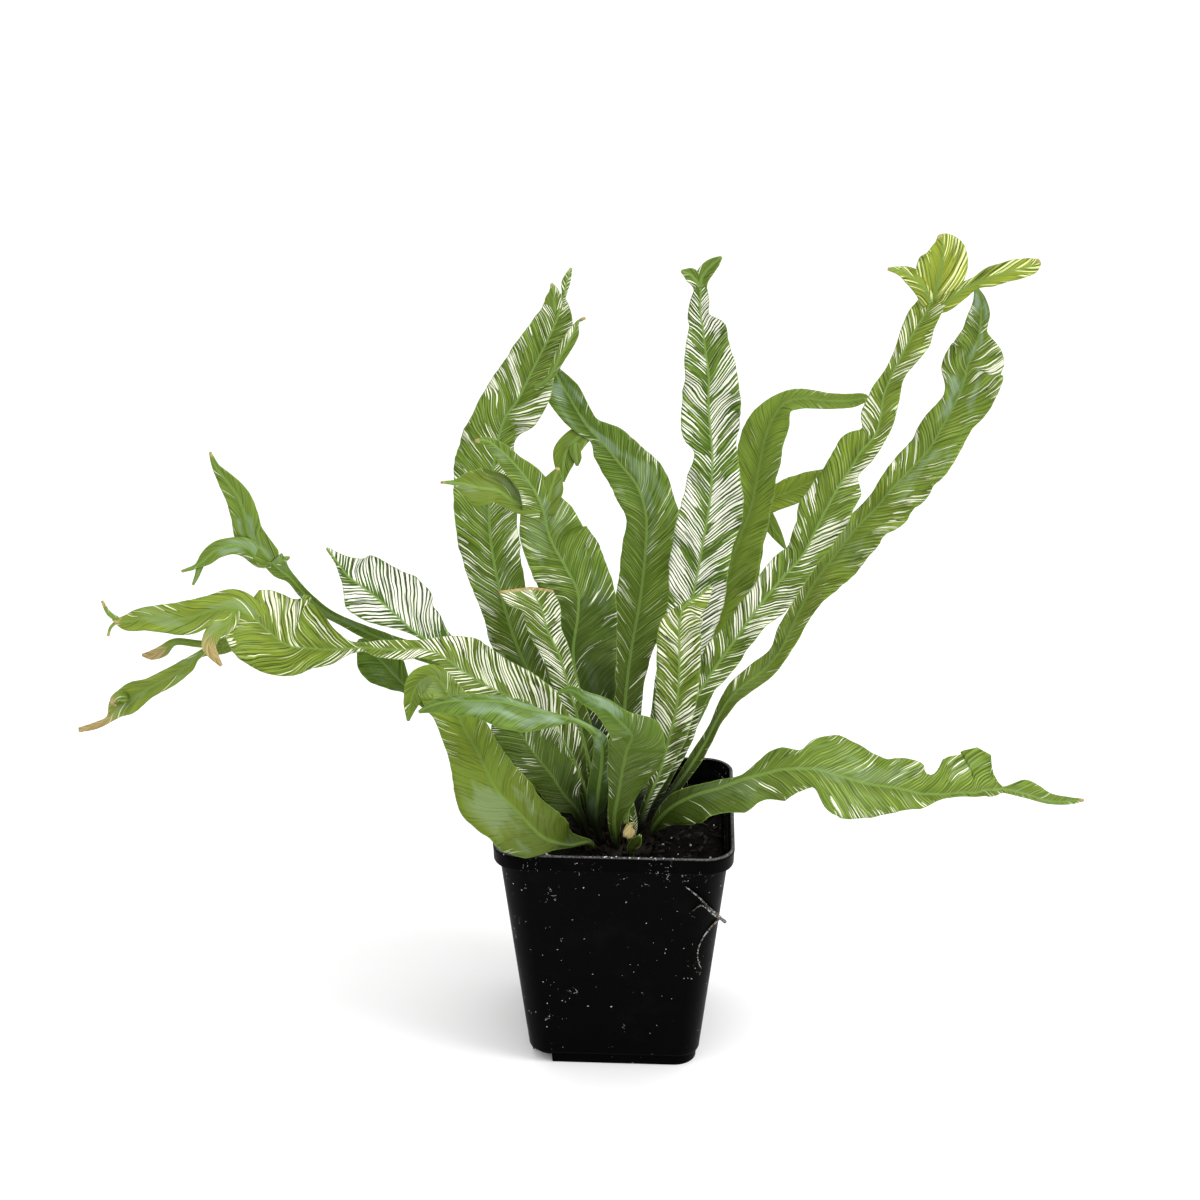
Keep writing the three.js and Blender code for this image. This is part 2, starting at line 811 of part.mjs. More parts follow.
// Joins rings of equal counts into one closed solid with flat ends
function loft(rings) {
  const count = rings[0].length;
  const positions = rings.flat().flatMap((p) => [p.x, p.y, p.z]);
  const index = [];
  for (let ring = 0; ring + 1 < rings.length; ring += 1) {
    for (let k = 0; k < count; k += 1) {
      const next = (k + 1) % count;
      const low = ring * count;
      const high = low + count;
      index.push(low + k, low + next, high + next, low + k, high + next, high + k);
    }
  }
  const last = (rings.length - 1) * count;
  for (let k = 1; k + 1 < count; k += 1) {
    index.push(0, k + 1, k);
    index.push(last, last + k, last + k + 1);
  }
  const geometry = new THREE.BufferGeometry();
  geometry.setAttribute("position", new THREE.Float32BufferAttribute(positions, 3));
  geometry.setIndex(index);
  return geometry;
}

function toSolid(geometry) {
  const bare = geometry.clone();
  bare.deleteAttribute("normal");
  bare.deleteAttribute("uv");
  const merged = mergeVertices(bare, 1e-4);
  return new wasm.Manifold(
    new wasm.Mesh({
      numProp: 3,
      vertProperties: new Float32Array(merged.attributes.position.array),
      triVerts: new Uint32Array(merged.index.array),
    }),
  );
}

function toGeometry(solid) {
  const mesh = solid.getMesh();
  const geometry = new THREE.BufferGeometry();
  geometry.setAttribute("position", new THREE.BufferAttribute(mesh.vertProperties, 3));
  geometry.setIndex(new THREE.BufferAttribute(mesh.triVerts, 1));
  return geometry;
}

function addPiece(group, name, geometry, color, roughness) {
  const material = new THREE.MeshStandardMaterial({ color, roughness, metalness: 0 });
  const mesh = new THREE.Mesh(geometry, material);
  mesh.name = name;
  group.add(mesh);
}

// Ring of a square with round corners, with extra points along its sides
function squareRing(half, radius, z, sidePoints = 1) {
  const ring = [];
  for (let corner = 0; corner < 4; corner += 1) {
    const start = (corner * Math.PI) / 2;
    const middle = start + Math.PI / 4;
    const reach = (half - radius) * Math.SQRT2;
    for (let k = 0; k <= CORNER_STEPS; k += 1) {
      const angle = start + (k / CORNER_STEPS) * (Math.PI / 2);
      ring.push(point(
        reach * Math.cos(middle) + radius * Math.cos(angle),
        reach * Math.sin(middle) + radius * Math.sin(angle),
        z,
      ));
    }
    const from = ring[ring.length - 1];
    const along = point(-Math.cos(start), -Math.sin(start), 0);
    const side = 2 * (half - radius);
    for (let k = 1; k < sidePoints; k += 1) {
      ring.push(from.clone().addScaledVector(along, (side * k) / sidePoints));
    }
  }
  return ring;
}

// Half width of the pot's body outside at a height
function bodyHalf(z) {
  const low = POT.footHalf + POT.footStep;
  const high = POT.rimHalf - POT.collarStep;
  const share = (z - POT.footHeight) / (POT.height - POT.collarHeight - POT.footHeight);
  return low + (high - low) * share;
}

function potGeometry() {
  const collarFoot = POT.height - POT.collarHeight;
  const inside = (z) => bodyHalf(z) - POT.wall;
  const floorTop = POT.recess + POT.floor;
  const shoulder = collarFoot - POT.wall;
  const footInside = POT.footHalf - POT.footWidth;
  const footInsideRadius = POT.footRadius - POT.footWidth;
  const lipHalf = POT.rimHalf - POT.lip;
  const profile = [
    [POT.padHalf, POT.padRadius, 0],
    [POT.padHalf, POT.padRadius, POT.recess],
    [footInside, footInsideRadius, POT.recess],
    [footInside, footInsideRadius, 0],
    [POT.footHalf, POT.footRadius, 0],
    [POT.footHalf + POT.footDraft, POT.footRadius, POT.footHeight],
    [bodyHalf(POT.footHeight), POT.footRadius, POT.footHeight + POT.footBlend],
    [bodyHalf(collarFoot), POT.bodyRadius, collarFoot],
    [POT.rimHalf - POT.collarBlend, POT.rimRadius, collarFoot + POT.collarBlend],
    [POT.rimHalf, POT.rimRadius, POT.height - POT.topRound],
    [POT.rimHalf - POT.collarBlend, POT.rimRadius, POT.height],
    [lipHalf, POT.rimRadius - POT.wall, POT.height - POT.topDip],
    [lipHalf - POT.collarBlend, POT.rimRadius - POT.wall, collarFoot + POT.topDip],
    [inside(shoulder), POT.bodyRadius - POT.wall, shoulder],
    [inside(floorTop), POT.footRadius - POT.wall, floorTop],
  ];
  let pot = toSolid(loft(profile.map(([half, radius, z]) => squareRing(half, radius, z))));
  const drain = new THREE.CylinderGeometry(POT.drainRadius, POT.drainRadius, CUTTER, POT.drainSides);
  drain.rotateX(Math.PI / 2);
  const slot = new THREE.BoxGeometry(POT.slotWidth, CUTTER, POT.slotHeight * 2);
  const corner = POT.footHalf * Math.SQRT2 - POT.footRadius * (Math.SQRT2 - 1);
  slot.translate(0, corner - POT.footWidth / 2, 0);
  for (let quarter = 0; quarter < 4; quarter += 1) {
    const straight = drain.clone().translate(POT.drainReach, 0, floorTop / 2);
    const turn = (quarter * Math.PI) / 2;
    pot = pot.subtract(toSolid(straight.rotateZ(turn)));
    pot = pot.subtract(toSolid(slot.clone().rotateZ(turn + Math.PI / 4)));
  }
  return toGeometry(pot);
}

// Height of the soil's lumps, which fade out towards the pot
function lumps(x, y) {
  const turn = 2 * Math.PI;
  const across = Math.sin((turn * x) / LUMPS.acrossX + LUMPS.shift);
  const along = Math.cos((turn * y) / LUMPS.acrossY);
  const fine = Math.sin((turn * x) / LUMPS.fineX - (turn * y) / LUMPS.fineY);
  return SOIL.lump * across * along + SOIL.fineLump * fine;
}

function soilGeometry() {
  const inside = (z) => bodyHalf(z) - POT.wall - GAP;
  const low = POT.recess + POT.floor + GAP;
  const edge = inside(SOIL.level);
  const radius = POT.bodyRadius - POT.wall;
  const rings = [squareRing(inside(low), POT.footRadius - POT.wall, low, SOIL.sidePoints)];
  rings.push(squareRing(edge, radius, SOIL.level - SOIL.edgeDip, SOIL.sidePoints));
  for (let ring = 1; ring < SOIL.rings; ring += 1) {
    const share = 1 - ring / SOIL.rings;
    const points = squareRing(edge * share, radius * share, SOIL.level, SOIL.sidePoints);
    points.forEach((p) => {
      p.z += lumps(p.x, p.y) * smooth((1 - share) * SOIL.lumpStart);
    });
    rings.push(points);
  }
  const widest = 1 + CROWN.bump;
  const room = {
    ...CROWN,
    halfX: CROWN.halfX * widest + GAP,
    halfY: CROWN.halfY * widest + GAP,
    bump: 0,
  };
  const hole = toSolid(loft([
    crownRing(room, 1, -CROWN.depth - GAP),
    crownRing(room, 1, HOLE.reach),
  ]));
  return toGeometry(toSolid(loft(rings)).subtract(hole));
}

// Ring round the crown at a height over the soil, swollen by old frond bases
function crownRing(size, scale, z) {
  const ring = [];
  for (let k = 0; k < size.sides; k += 1) {
    const angle = (k / size.sides) * 2 * Math.PI;
    const swell = scale * (1 + size.bump * Math.sin(angle * size.swellings));
    ring.push(point(
      size.x + size.halfX * swell * Math.cos(angle),
      size.y + size.halfY * swell * Math.sin(angle),
      SOIL.level + z,
    ));
  }
  return ring;
}

// Start of a frond: straight out of its hole
function footPoints({ foot, spine }) {
  const start = point(...foot);
  const lean = point(...spine[0]).sub(start).normalize();
  return { start, lean, end: start.clone().addScaledVector(lean, HOLE.straight) };
}

function crownGeometry() {
  let crown = toSolid(loft(CROWN_PROFILE.map(([scale, z]) => crownRing(CROWN, scale, z))));
  for (const frond of FRONDS) {
    const { start, lean } = footPoints(frond);
    const hole = new THREE.CylinderGeometry(HOLE.radius, HOLE.radius, HOLE.reach, HOLE.sides);
    hole.translate(0, HOLE.reach / 2 - GAP, 0);
    hole.applyQuaternion(new THREE.Quaternion().setFromUnitVectors(point(0, 1, 0), lean));
    hole.translate(start.x, start.y, start.z);
    crown = crown.subtract(toSolid(hole));
  }
  return toGeometry(crown);
}

// Samples a spine into frames: place, directions, breadths and distance
function frames(points) {
  const place = new THREE.CatmullRomCurve3(
    points.map(([x, y, z]) => point(x, y, z)), false, "centripetal",
  );
  const breadth = new THREE.CatmullRomCurve3(
    points.map(([, , , left, right, turn]) => point(left, right, turn)), false, "centripetal",
  );
  const spans = points.length - 1;
  const list = [];
  let distance = 0;
  for (let span = 0; span < spans; span += 1) {
    const length = place.getPoint(span / spans).distanceTo(place.getPoint((span + 1) / spans));
    const pieces = Math.max(1, Math.round(length / STEP));
    for (let k = 0; k < pieces; k += 1) list.push((span + k / pieces) / spans);
  }
  list.push(1);
  return list.map((u, k) => {
    const centre = place.getPoint(u);
    if (k > 0) distance += centre.distanceTo(place.getPoint(list[k - 1]));
    const { x: left, y: right, z: turn } = breadth.getPoint(u);
    const along = place.getTangent(u);
    const lean = THREE.MathUtils.degToRad(turn);
    const level = new THREE.Vector3().crossVectors(along, FRONT).normalize();
    const side = level.applyAxisAngle(along, lean);
    const face = new THREE.Vector3().crossVectors(side, along);
    const seen = Math.cos(lean);
    return {
      centre,
      side,
      face,
      distance,
      left: Math.max(left, LEAST_HALF) / seen,
      right: Math.max(right, LEAST_HALF) / seen,
    };
  });
}

// A blade: a thin waved strap with its midrib standing out on both faces
function bladeSolid(points, shape, ribBase, across) {
  const list = frames(points);
  const length = list[list.length - 1].distance;
  const rings = list.map(({ centre, side, face, distance, left, right }) => {
    const share = distance / length;
    const rib = RIB.tip + (ribBase - RIB.tip) * (1 - smooth(share / RIB.fade));
    const grow = smooth(distance / WAVE_START);
    const cycle = (2 * Math.PI * distance) / shape.pitch + shape.phase;
    const section = (outward) => across.map((t) => {
      const half = t < 0 ? left : right;
      const swing = Math.sin(cycle + (t < 0 ? WAVE_LAG : 0)) * shape.wave * (half / WAVE_HALF);
      const lift = grow * t * t * (shape.channel * half + swing);
      const thick = t === 0 ? rib : EDGE;
      return centre.clone()
        .addScaledVector(side, t * half)
        .addScaledVector(face, lift + (outward * thick) / 2);
    });
    return { top: section(1), under: section(-1) };
  });
  return toSolid(strap(rings));
}

// Closes pairs of faces into one body, split into triangles alike on both
function strap(rings) {
  const width = rings[0].top.length;
  const corners = rings.flatMap(({ top, under }) => [...top, ...under]);
  const positions = corners.flatMap((p) => [p.x, p.y, p.z]);
  const index = [];
  const quad = (a, b, c, d) => index.push(a, b, c, a, c, d);
  for (let ring = 0; ring + 1 < rings.length; ring += 1) {
    const low = ring * width * 2;
    const high = low + width * 2;
    for (let k = 0; k + 1 < width; k += 1) {
      quad(low + k, low + k + 1, high + k + 1, high + k);
      const under = low + width + k;
      const over = high + width + k;
      index.push(under, over + 1, under + 1, under, over, over + 1);
    }
    const edge = width - 1;
    quad(low + edge, low + width + edge, high + width + edge, high + edge);
    quad(low + width, low, high, high + width);
  }
  const last = (rings.length - 1) * width * 2;
  for (let k = 0; k + 1 < width; k += 1) {
    quad(k, k + width, k + width + 1, k + 1);
    quad(last + k, last + k + 1, last + k + width + 1, last + k + width);
  }
  const geometry = new THREE.BufferGeometry();
  geometry.setAttribute("position", new THREE.Float32BufferAttribute(positions, 3));
  geometry.setIndex(index);
  return geometry;
}

function frondGeometry(frond) {
  const { start, end } = footPoints(frond);
  const stalk = [start, end].map(({ x, y, z }) => [x, y, z, STALK_HALF, STALK_HALF, frond.spine[0][5]]);
  let blade = bladeSolid([...stalk, ...frond.spine], frond, RIB.base, BLADE_ACROSS);
  for (const lobe of frond.lobes ?? []) {
    blade = blade.add(bladeSolid(lobe, frond, RIB.tip, LOBE_ACROSS));
  }
  return toGeometry(blade);
}

const fern = new THREE.Group();
addPiece(fern, "pot", potGeometry(), 0x0d0d0e, 0.35);
addPiece(fern, "soil", soilGeometry(), 0x2a211b, 0.95);
addPiece(fern, "crown", crownGeometry(), 0x2c2018, 0.9);
for (const frond of FRONDS) {
  addPiece(fern, frond.name, frondGeometry(frond), frond.color, 0.45);
}

export default fern;
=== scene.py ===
"""A variegated bird's nest fern in a square nursery pot.

The packed solids are the frame: metres, +Z up, the origin in the middle of the
pot's underside and the viewer of the front on the -Y side. The sizes below are
in millimetres, as in the part's source, and each mesh is scaled when it is made.
"""

import math
import random
from collections import namedtuple
from functools import partialmethod
from itertools import pairwise
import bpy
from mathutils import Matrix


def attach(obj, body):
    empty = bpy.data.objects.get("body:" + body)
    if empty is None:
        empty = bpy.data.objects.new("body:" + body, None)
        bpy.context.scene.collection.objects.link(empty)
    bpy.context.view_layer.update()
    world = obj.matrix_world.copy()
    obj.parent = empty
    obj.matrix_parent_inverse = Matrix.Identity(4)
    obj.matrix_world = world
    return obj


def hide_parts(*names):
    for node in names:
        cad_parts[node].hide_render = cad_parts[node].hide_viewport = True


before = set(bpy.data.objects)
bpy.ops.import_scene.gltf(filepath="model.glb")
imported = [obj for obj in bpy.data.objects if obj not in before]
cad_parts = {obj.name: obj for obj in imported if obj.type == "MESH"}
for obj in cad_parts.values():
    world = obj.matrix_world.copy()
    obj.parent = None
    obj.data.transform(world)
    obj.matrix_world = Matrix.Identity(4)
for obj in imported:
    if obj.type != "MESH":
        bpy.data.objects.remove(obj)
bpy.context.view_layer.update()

from types import SimpleNamespace

import bmesh
import bpy
from mathutils import Matrix, Vector, noise

bl_info = {
    "name": "Potted bird's nest fern",
    "version": (1, 0, 0),
    "blender": (4, 5, 0),
    "location": "3D View > Sidebar > Fern",
    "description": "Builds a variegated bird's nest fern in its pot, piece by piece",
    "category": "Add Mesh",
}

MM = 0.001
FULL_TURN = 6.28

# Pot: half widths of its square plan, corner radii and heights, as in the source
POT_HEIGHT = 107
RIM_HALF = 50
RIM_RADIUS = 12.5
LIP = 1.5
COLLAR_HEIGHT = 7.5
COLLAR_STEP = 2.7
BODY_RADIUS = 11
FOOT_HALF = 35.5
FOOT_RADIUS = 9.5
FOOT_HEIGHT = 5
FOOT_STEP = 1.3
FOOT_WIDTH = 4
WALL = 1.3
FLOOR = 1.6
RECESS = 2.4
PAD_HALF = 9
PAD_RADIUS = 4
DRAIN_RADIUS = 4
DRAIN_REACH = 20
SLOT_WIDTH = 13
SLOT_HEIGHT = 4.2
# The front right corner of the foot, counted round from the back left, has no slot.
WHOLE_CORNER = 2
CUTTER = 12
POT_EDGE = 0.2
COLLAR_FOOT = POT_HEIGHT - COLLAR_HEIGHT

# Soil: its mean level, its lumps, and the lengths of its waves
SOIL_LEVEL = 96.5
SOIL_DIP = 1.5
LUMP = 1.4
FINE_LUMP = 0.7
LUMP_START = 3
LUMP_LENGTHS = (20, 23, 7.6, 14.3)
LUMP_SHIFT = 1.1

# Clearance between the soil and the pot
GAP = 0.3
# What lies on the soil: where pale grains gather behind the front rim and on it, from
# front to back, how far out to the sides, and the breadth of a chip's edge
GRAINS_BEHIND_RIM = (-46, -41)
GRAINS_ON_RIM = (-50, -48.8)
GRAINS_OUT = 38
CHIP_EDGE = 0.15

# Crown: the middle, half breadths and height of the short stem over the soil
CROWN_MIDDLE = Vector((1, -8, SOIL_LEVEL))
CROWN_HALF = (18, 21)
CROWN_PROFILE = ((0.92, -7), (1, -1), (0.97, 0.3), (0.9, 1.7), (0.78, 2.8), (0.5, 4), (0.2, 4.5))

# Fronds: as in the source, with a finer step along the blade
RIB_BASE = 2.7
RIB_TIP = 1.1
RIB_FADE = 0.55
WAVE_START = 25
WAVE_HALF = 12
WAVE_LAG = 2.2
STALK_HALF = 1.5
STALK_LENGTH = 6
LEAST_HALF = 0.5
FRONT = Vector((0.05, -0.938, 0.344))

# Camera: its place, and the point that it looks at
CAMERA_PLACE = Vector((31.87, -777.39, 486.75))
CAMERA_AIM = Vector((-7.49, -0.38, 200.5))

# A frond: where its foot stands, how far its margins are folded up, the height, the
# length and the start of its waves, the paths of its blade and of the lobes that branch
# off it, and by how many millimetres its end is cut askew. Each spot of a path is
# x, y, z of the midrib, the breadth left and right of it as the front view shows them,
# and the turn in degrees by which the right edge leans back. A spot with one breadth
# has it on both sides, and one without a turn has the path's own.
Frond = namedtuple("Frond", "name foot channel wave pitch phase paths slant", defaults=(0,))


def path(turn, *spots):
    """Spots with both breadths and a turn each."""
    made = []
    for x, y, z, left, *more in spots:
        right = more[0] if more else left
        made.append((x, y, z, left, right, more[1] if len(more) > 1 else turn))
    return tuple(made)


FRONDS = (
    Frond("front_left_broad", (-7, -22, 95), 0.1, 1.6, 34, 0.4, (
        path(10, (-11, -29, 103, 1, 1.5, 5), (-18, -38, 106, 1, 6, 5), (-24, -47, 112, 3.5, 10),
            (-29, -53, 118, 10.5, 11, 15), (-35, -57, 127, 15.5, 10.5, 15), (-40, -59, 134, 15, 11.5, 15),
            (-46, -59, 141, 16, 11.5), (-50, -58, 149, 14, 10), (-54, -56, 157, 11.5, 9),
            (-59, -51, 163, 9.5, 9), (-63, -47, 170, 9, 8), (-67, -44, 177, 10.5, 5.5),
            (-72, -42, 182, 9.5, 5), (-78, -42, 179, 5.5, 5), (-81, -45, 172, 3.5, 3),
            (-82, -48, 165, 0.5)),
    )),
    Frond("low_left_smooth", (-5, -20, 95), -0.12, 1, 40, 1, (
        path(35, (-8, -24, 110, 2.5, 2, 0), (-7, -29, 125, 4.5, 4.5, 0), (-5, -36, 142, 4, 4, 0),
            (-5, -42, 154, 3, 3.5, 5), (-8, -49, 163, 1.5, 1.5, 20), (-15, -53, 169, 1, 1, 30),
            (-24, -57, 173, 4.5, 1), (-34, -60, 177, 8.5, 2), (-43, -62, 180, 9, 2.5),
            (-53, -64, 181, 5.5, 3), (-63, -65, 181, 4.5, 2.5), (-70, -65, 179, 2.5, 2, 30),
            (-75, -64, 176, 0.5, 0.5, 30)),
    )),
    Frond("front_centre_recurved", (1, -24, 95), -0.12, 1.4, 30, 2, (
        path(0, (0, -34, 116, 2.5, 3.5), (2, -40, 131, 4, 8), (4, -46, 145, 6.5, 13), (6, -53, 157, 8, 15),
            (8, -60, 166, 8, 12), (4, -68, 175, 6, 5.5), (-3, -71, 183, 4, 3.5, 10),
            (-10, -72, 187, 2.5, 2.5, 10), (-15, -72, 190, 1.5, 1.5, 10), (-20, -72, 189, 0.5, 0.5, 10)),
    )),
    Frond("front_left_striped", (-10.5, -16.5, 95), 0.12, 2, 30, 0, (
        path(12, (-16, -24, 115, 2, 2.5), (-21, -28, 124, 7, 8), (-26, -32, 135, 8, 10.5),
            (-32, -35, 145, 10, 12.5), (-38, -37, 156, 10.5, 12), (-43, -38, 164, 9, 9.5),
            (-47, -38, 169, 3)),
    )),
    Frond("long_left_forked", (-9.5, -12, 95), 0.14, 2.4, 36, 1.2, (
        path(20, (-13, -17, 121, 2, 2, 10), (-21, -21, 144, 6, 7.5, 10), (-31, -24, 158, 6.5, 10.5, 15),
            (-42, -26, 166, 7.5, 12.5, 15), (-55, -28, 174, 9, 13.5), (-63, -29, 180, 6, 12, 25),
            (-71, -29, 186, 3, 7.5, 40), (-79, -28, 188, 4, 4, 30), (-87, -27, 187, 4),
            (-96, -26, 187, 3.5), (-103, -25, 187, 1.5, 2), (-108, -24, 186, 2, 3), (-117, -23, 185, 7, 9),
            (-125, -22, 185, 10, 16.5), (-134, -22, 186, 13.5, 19.5), (-141, -22, 191, 15.5, 17.5),
            (-147, -22, 197, 15.5, 14), (-152, -22, 201, 14.5, 10)),
        path(15, (-145, -22, 195, 5.5), (-155, -24, 203, 7.5), (-165, -26, 202, 6.5), (-173, -26, 199, 7),
            (-184, -25, 198, 5.5), (-192, -25, 198, 5), (-199, -24, 196, 4), (-204, -23, 196, 1.5),
            (-206, -23, 197, 0.5)),
        path(0, (-155, -24, 203, 3), (-157, -30, 199, 4), (-161, -36, 197, 3.5), (-163, -38, 192, 3),
            (-161, -39, 188, 2), (-158, -40, 184, 0.5)),
        path(15, (-145, -22, 194, 3.5), (-155, -20, 188, 3.5), (-162, -18, 184, 3.5), (-173, -16, 179, 1.5),
            (-179, -14, 173, 3), (-187, -12, 167, 4), (-197, -11, 161, 4.5), (-205, -10, 156, 6),
            (-211, -10, 152, 4.5), (-216, -10, 146, 1.5), (-222, -10, 143, 1.5), (-229, -10, 141, 1)),
        path(10, (-162, -18, 184, 1.5), (-172, -19, 185, 1.5), (-182, -20, 186, 1.5), (-187, -20, 182, 2.5),
            (-192, -20, 180, 2), (-196, -20, 180, 0.5)),
        path(0, (-203, -23, 196, 1.2), (-207, -24, 199.5, 1), (-209.5, -24, 205, 0.4)),
        path(0, (-204, -23, 196, 0.7), (-207, -24, 193.5, 0.6), (-208, -25, 190, 0.3)),
        path(60, (-206, -11, 157, 2, 2, 40), (-210, -13, 158.5, 2, 2, 50), (-212.5, -14, 156, 1.2),
            (-211.5, -13, 154, 0.6)),
    )),
    Frond("left_white_striped", (-10, -7, 95), 0.14, 1.8, 32, 0.6, (
        path(25, (-24, -8, 138, 2.5, 2.5, 15), (-49, -10, 163, 3.5, 3.5, 15), (-63, -11, 173, 4, 4, 20),
            (-73, -12, 181, 3.5, 7.5), (-80, -13, 187, 1, 11.5), (-85, -13, 191, 2, 13),
            (-91, -13, 197, 6, 15), (-99, -14, 205, 10.5, 14.5), (-105, -14, 210, 11.5, 13),
            (-110, -14, 214, 3.5, 10, 20), (-114, -14, 220, 1, 4, 20), (-118, -14, 226, 0.5, 0.5, 20)),
    )),
    Frond("left_crested", (-9, -1.5, 95), 0.1, 1, 34, 0, (
        path(25, (-16, 0, 125, 2, 2, 20), (-31, 2, 152, 3.5, 3.5, 22), (-54, 2, 165, 4), (-79, 0, 174, 3.5),
            (-98, -1, 181, 3), (-106, -2, 185, 2.5), (-114, -4, 190, 2), (-122, -5, 195, 2, 2, 22),
            (-130, -6, 203, 2, 2, 20), (-135, -7, 210, 2, 2, 15), (-139, -8, 214, 3.5, 4, 8),
            (-142, -9, 218, 3.5, 5.5, 0)),
        path(0, (-142, -9, 218, 3.5), (-143, -10, 220, 5), (-150, -11, 230, 6), (-151, -13, 239, 5.5),
            (-153, -14, 247, 5), (-157, -15, 254, 3.5), (-161, -15, 260, 1.5), (-163, -15, 266, 0.5)),
        path(5, (-142, -9, 218, 2.5), (-146, -10, 219, 3.5), (-151, -13, 225, 4), (-156, -16, 227, 3.5),
            (-162, -19, 226, 3.5), (-166, -21, 223, 3), (-170, -22, 220, 1), (-176, -23, 218, 0.5)),
        path(0, (-162, -19, 226, 1.5), (-168, -21, 221, 1.5), (-170, -22, 216, 1), (-172, -22, 212, 0.5)),
        path(0, (-142, -9, 218, 2.5), (-139, -8, 218, 2), (-135, -6, 219, 0.5)),
    )),
    Frond("low_left_round", (-13.5, -3.5, 95), 0.12, 1.2, 38, 0.9, (
        path(25, (-25, 0, 108, 3, 3, 20), (-47, 6, 125, 5), (-71, 9, 140, 4.5), (-81, 10, 147, 3),
            (-90, 10, 154, 2.5), (-95, 10, 159, 6, 5.5), (-100, 10, 165, 9.5, 7.5),
            (-106, 9, 172, 8.5, 7.5, 20), (-111, 8, 177, 1, 1, 20)),
    )),
    Frond("left_tall", (-5, 2, 95), 0.15, 2.2, 38, 0.3, (
        path(12, (-14, 8, 112, 3.5), (-28, 12, 140, 8, 7), (-43, 18, 169, 9.5, 7.5), (-51, 22, 194, 10.5),
            (-55, 26, 213, 13.5, 11.5), (-56, 28, 230, 15.5, 12), (-54, 31, 249, 16, 10),
            (-52, 32, 260, 15, 7), (-49, 33, 269, 13.5, 11), (-44, 34, 276, 13.5, 11.5),
            (-38, 34, 288, 12.5, 10), (-32, 34, 300, 10.5, 8.5), (-27, 34, 311, 8, 6.5),
            (-25, 34, 319, 5.5, 2.5), (-24, 34, 321, 1), (-23, 34, 326, 2, 1.5), (-21, 34, 332, 0.5)),
        path(0, (-27, 34, 310, 3.5), (-28, 33, 318, 4, 3.5), (-28, 32, 323, 2), (-29, 32, 326, 0.5)),
        path(0, (-37, 34, 282, 2), (-31, 31, 286, 1.5), (-25, 29, 297, 2.5), (-20, 28, 306, 2.5),
            (-18, 28, 311, 0.5), (-15, 27, 313, 0.5)),
    )),
    Frond("centre_left_creased", (-5, -5, 95), 0.12, 2, 36, 1.6, (
        path(5, (-7, -3, 117, 3, 3.5), (-13, 0, 146, 9.5, 12.5), (-19, 3, 174, 12.5, 18),
            (-17, 4, 192, 12.5, 17), (-17, 4, 202, 12.5, 14.5), (-22, 2, 214, 14, 16.5),
            (-28, -2, 228, 12.5, 15), (-30, -5, 239, 10, 11), (-32, -7, 246, 7.5), (-36, -9, 254, 5.5, 6.5),
            (-42, -12, 263, 5, 3.5), (-47, -15, 269, 3.5, 3), (-52, -17, 273, 2, 1.5),
            (-56, -18, 273, 0.5)),
        path(0, (-30, -5, 239, 4), (-27, -6, 250, 5), (-25, -6, 256, 2.5), (-24, -6, 259, 0.5)),
        path(10, (-31, -6, 241, 4), (-41, -9, 245, 4, 5), (-48, -13, 251, 5, 7), (-55, -16, 253, 7, 8),
            (-60, -18, 255, 5), (-65, -19, 256, 1), (-70, -19, 256, 0.5)),
    )),
    Frond("centre_small_striped", (-5, -12, 95), 0.14, 1.4, 28, 0, (
        path(5, (-10, -10, 123, 2), (-16, -9, 149, 5), (-21, -9, 168, 6.5, 4), (-24, -9, 179, 7, 4.5),
            (-29, -8, 190, 7.5, 5.5), (-31, -8, 198, 8, 7), (-33, -8, 203, 12.5, 7.5),
            (-35.5, -8, 208.5, 13, 7.5)),
    ), slant=-5),
    Frond("centre_tall_green", (1, 2, 95), 0.14, 2.2, 40, 0.8, (
        path(3, (2, 8, 115, 4), (2, 18, 141, 6, 7), (4, 28, 163, 7, 8.5), (8, 38, 187, 10.5, 13),
            (10, 44, 208, 10, 12.5), (10, 48, 222, 9, 14.5), (6, 52, 234, 11, 13.5), (-2, 56, 243, 8.5, 12),
            (-8, 58, 250, 7, 10.5), (-12, 59, 254, 3.5, 8), (-16, 60, 258, 5, 5.5), (-20, 61, 264, 8, 5.5),
            (-24, 61, 271, 8.5, 6), (-28, 61, 278, 8.5, 4.5), (-31, 61, 285, 5, 1.5), (-33, 61, 291, 0.5)),
        path(0, (-15, 60, 257, 3.5), (-21, 57, 253, 5), (-25, 55, 248, 5.5), (-26, 52, 243, 4),
            (-26, 50, 236, 0.5)),
        path(0, (-21, 57, 253, 2), (-21, 54, 249, 2.5), (-20, 52, 246, 2), (-20, 51, 243, 0.5)),
    )),
    Frond("centre_tall_striped", (4, -3, 95), 0.16, 2.4, 36, 0, (
        path(-8, (14, 6, 124, 4), (22, 13, 153, 7, 8.5), (27, 18, 174, 9.5, 11), (31, 22, 195, 10, 13),
            (33, 24, 206, 12.5, 13), (35, 25, 219, 12.5, 13), (37, 27, 232, 11.5, 14.5),
            (38, 28, 245, 10.5, 13), (38, 29, 256, 7.5, 10.5), (37, 30, 266, 11.5, 12),
            (36, 31, 278, 11, 13.5), (36, 31, 287, 10, 12), (34, 32, 301, 8, 10), (33, 32, 309, 5.5, 9.5),
            (32, 32, 314, 5, 3.5), (32, 32, 320, 4, 3.5), (32, 32, 325, 2.5)),
        path(0, (32, 32, 321, 2.5), (31, 32, 326, 2.5), (28, 31, 330, 3), (24, 30, 332, 0.5)),
        path(0, (32, 32, 321, 2.5), (32, 32, 328, 3), (35, 31, 333, 3), (38, 30, 336, 2),
            (40, 29, 338, 0.5)),
    )),
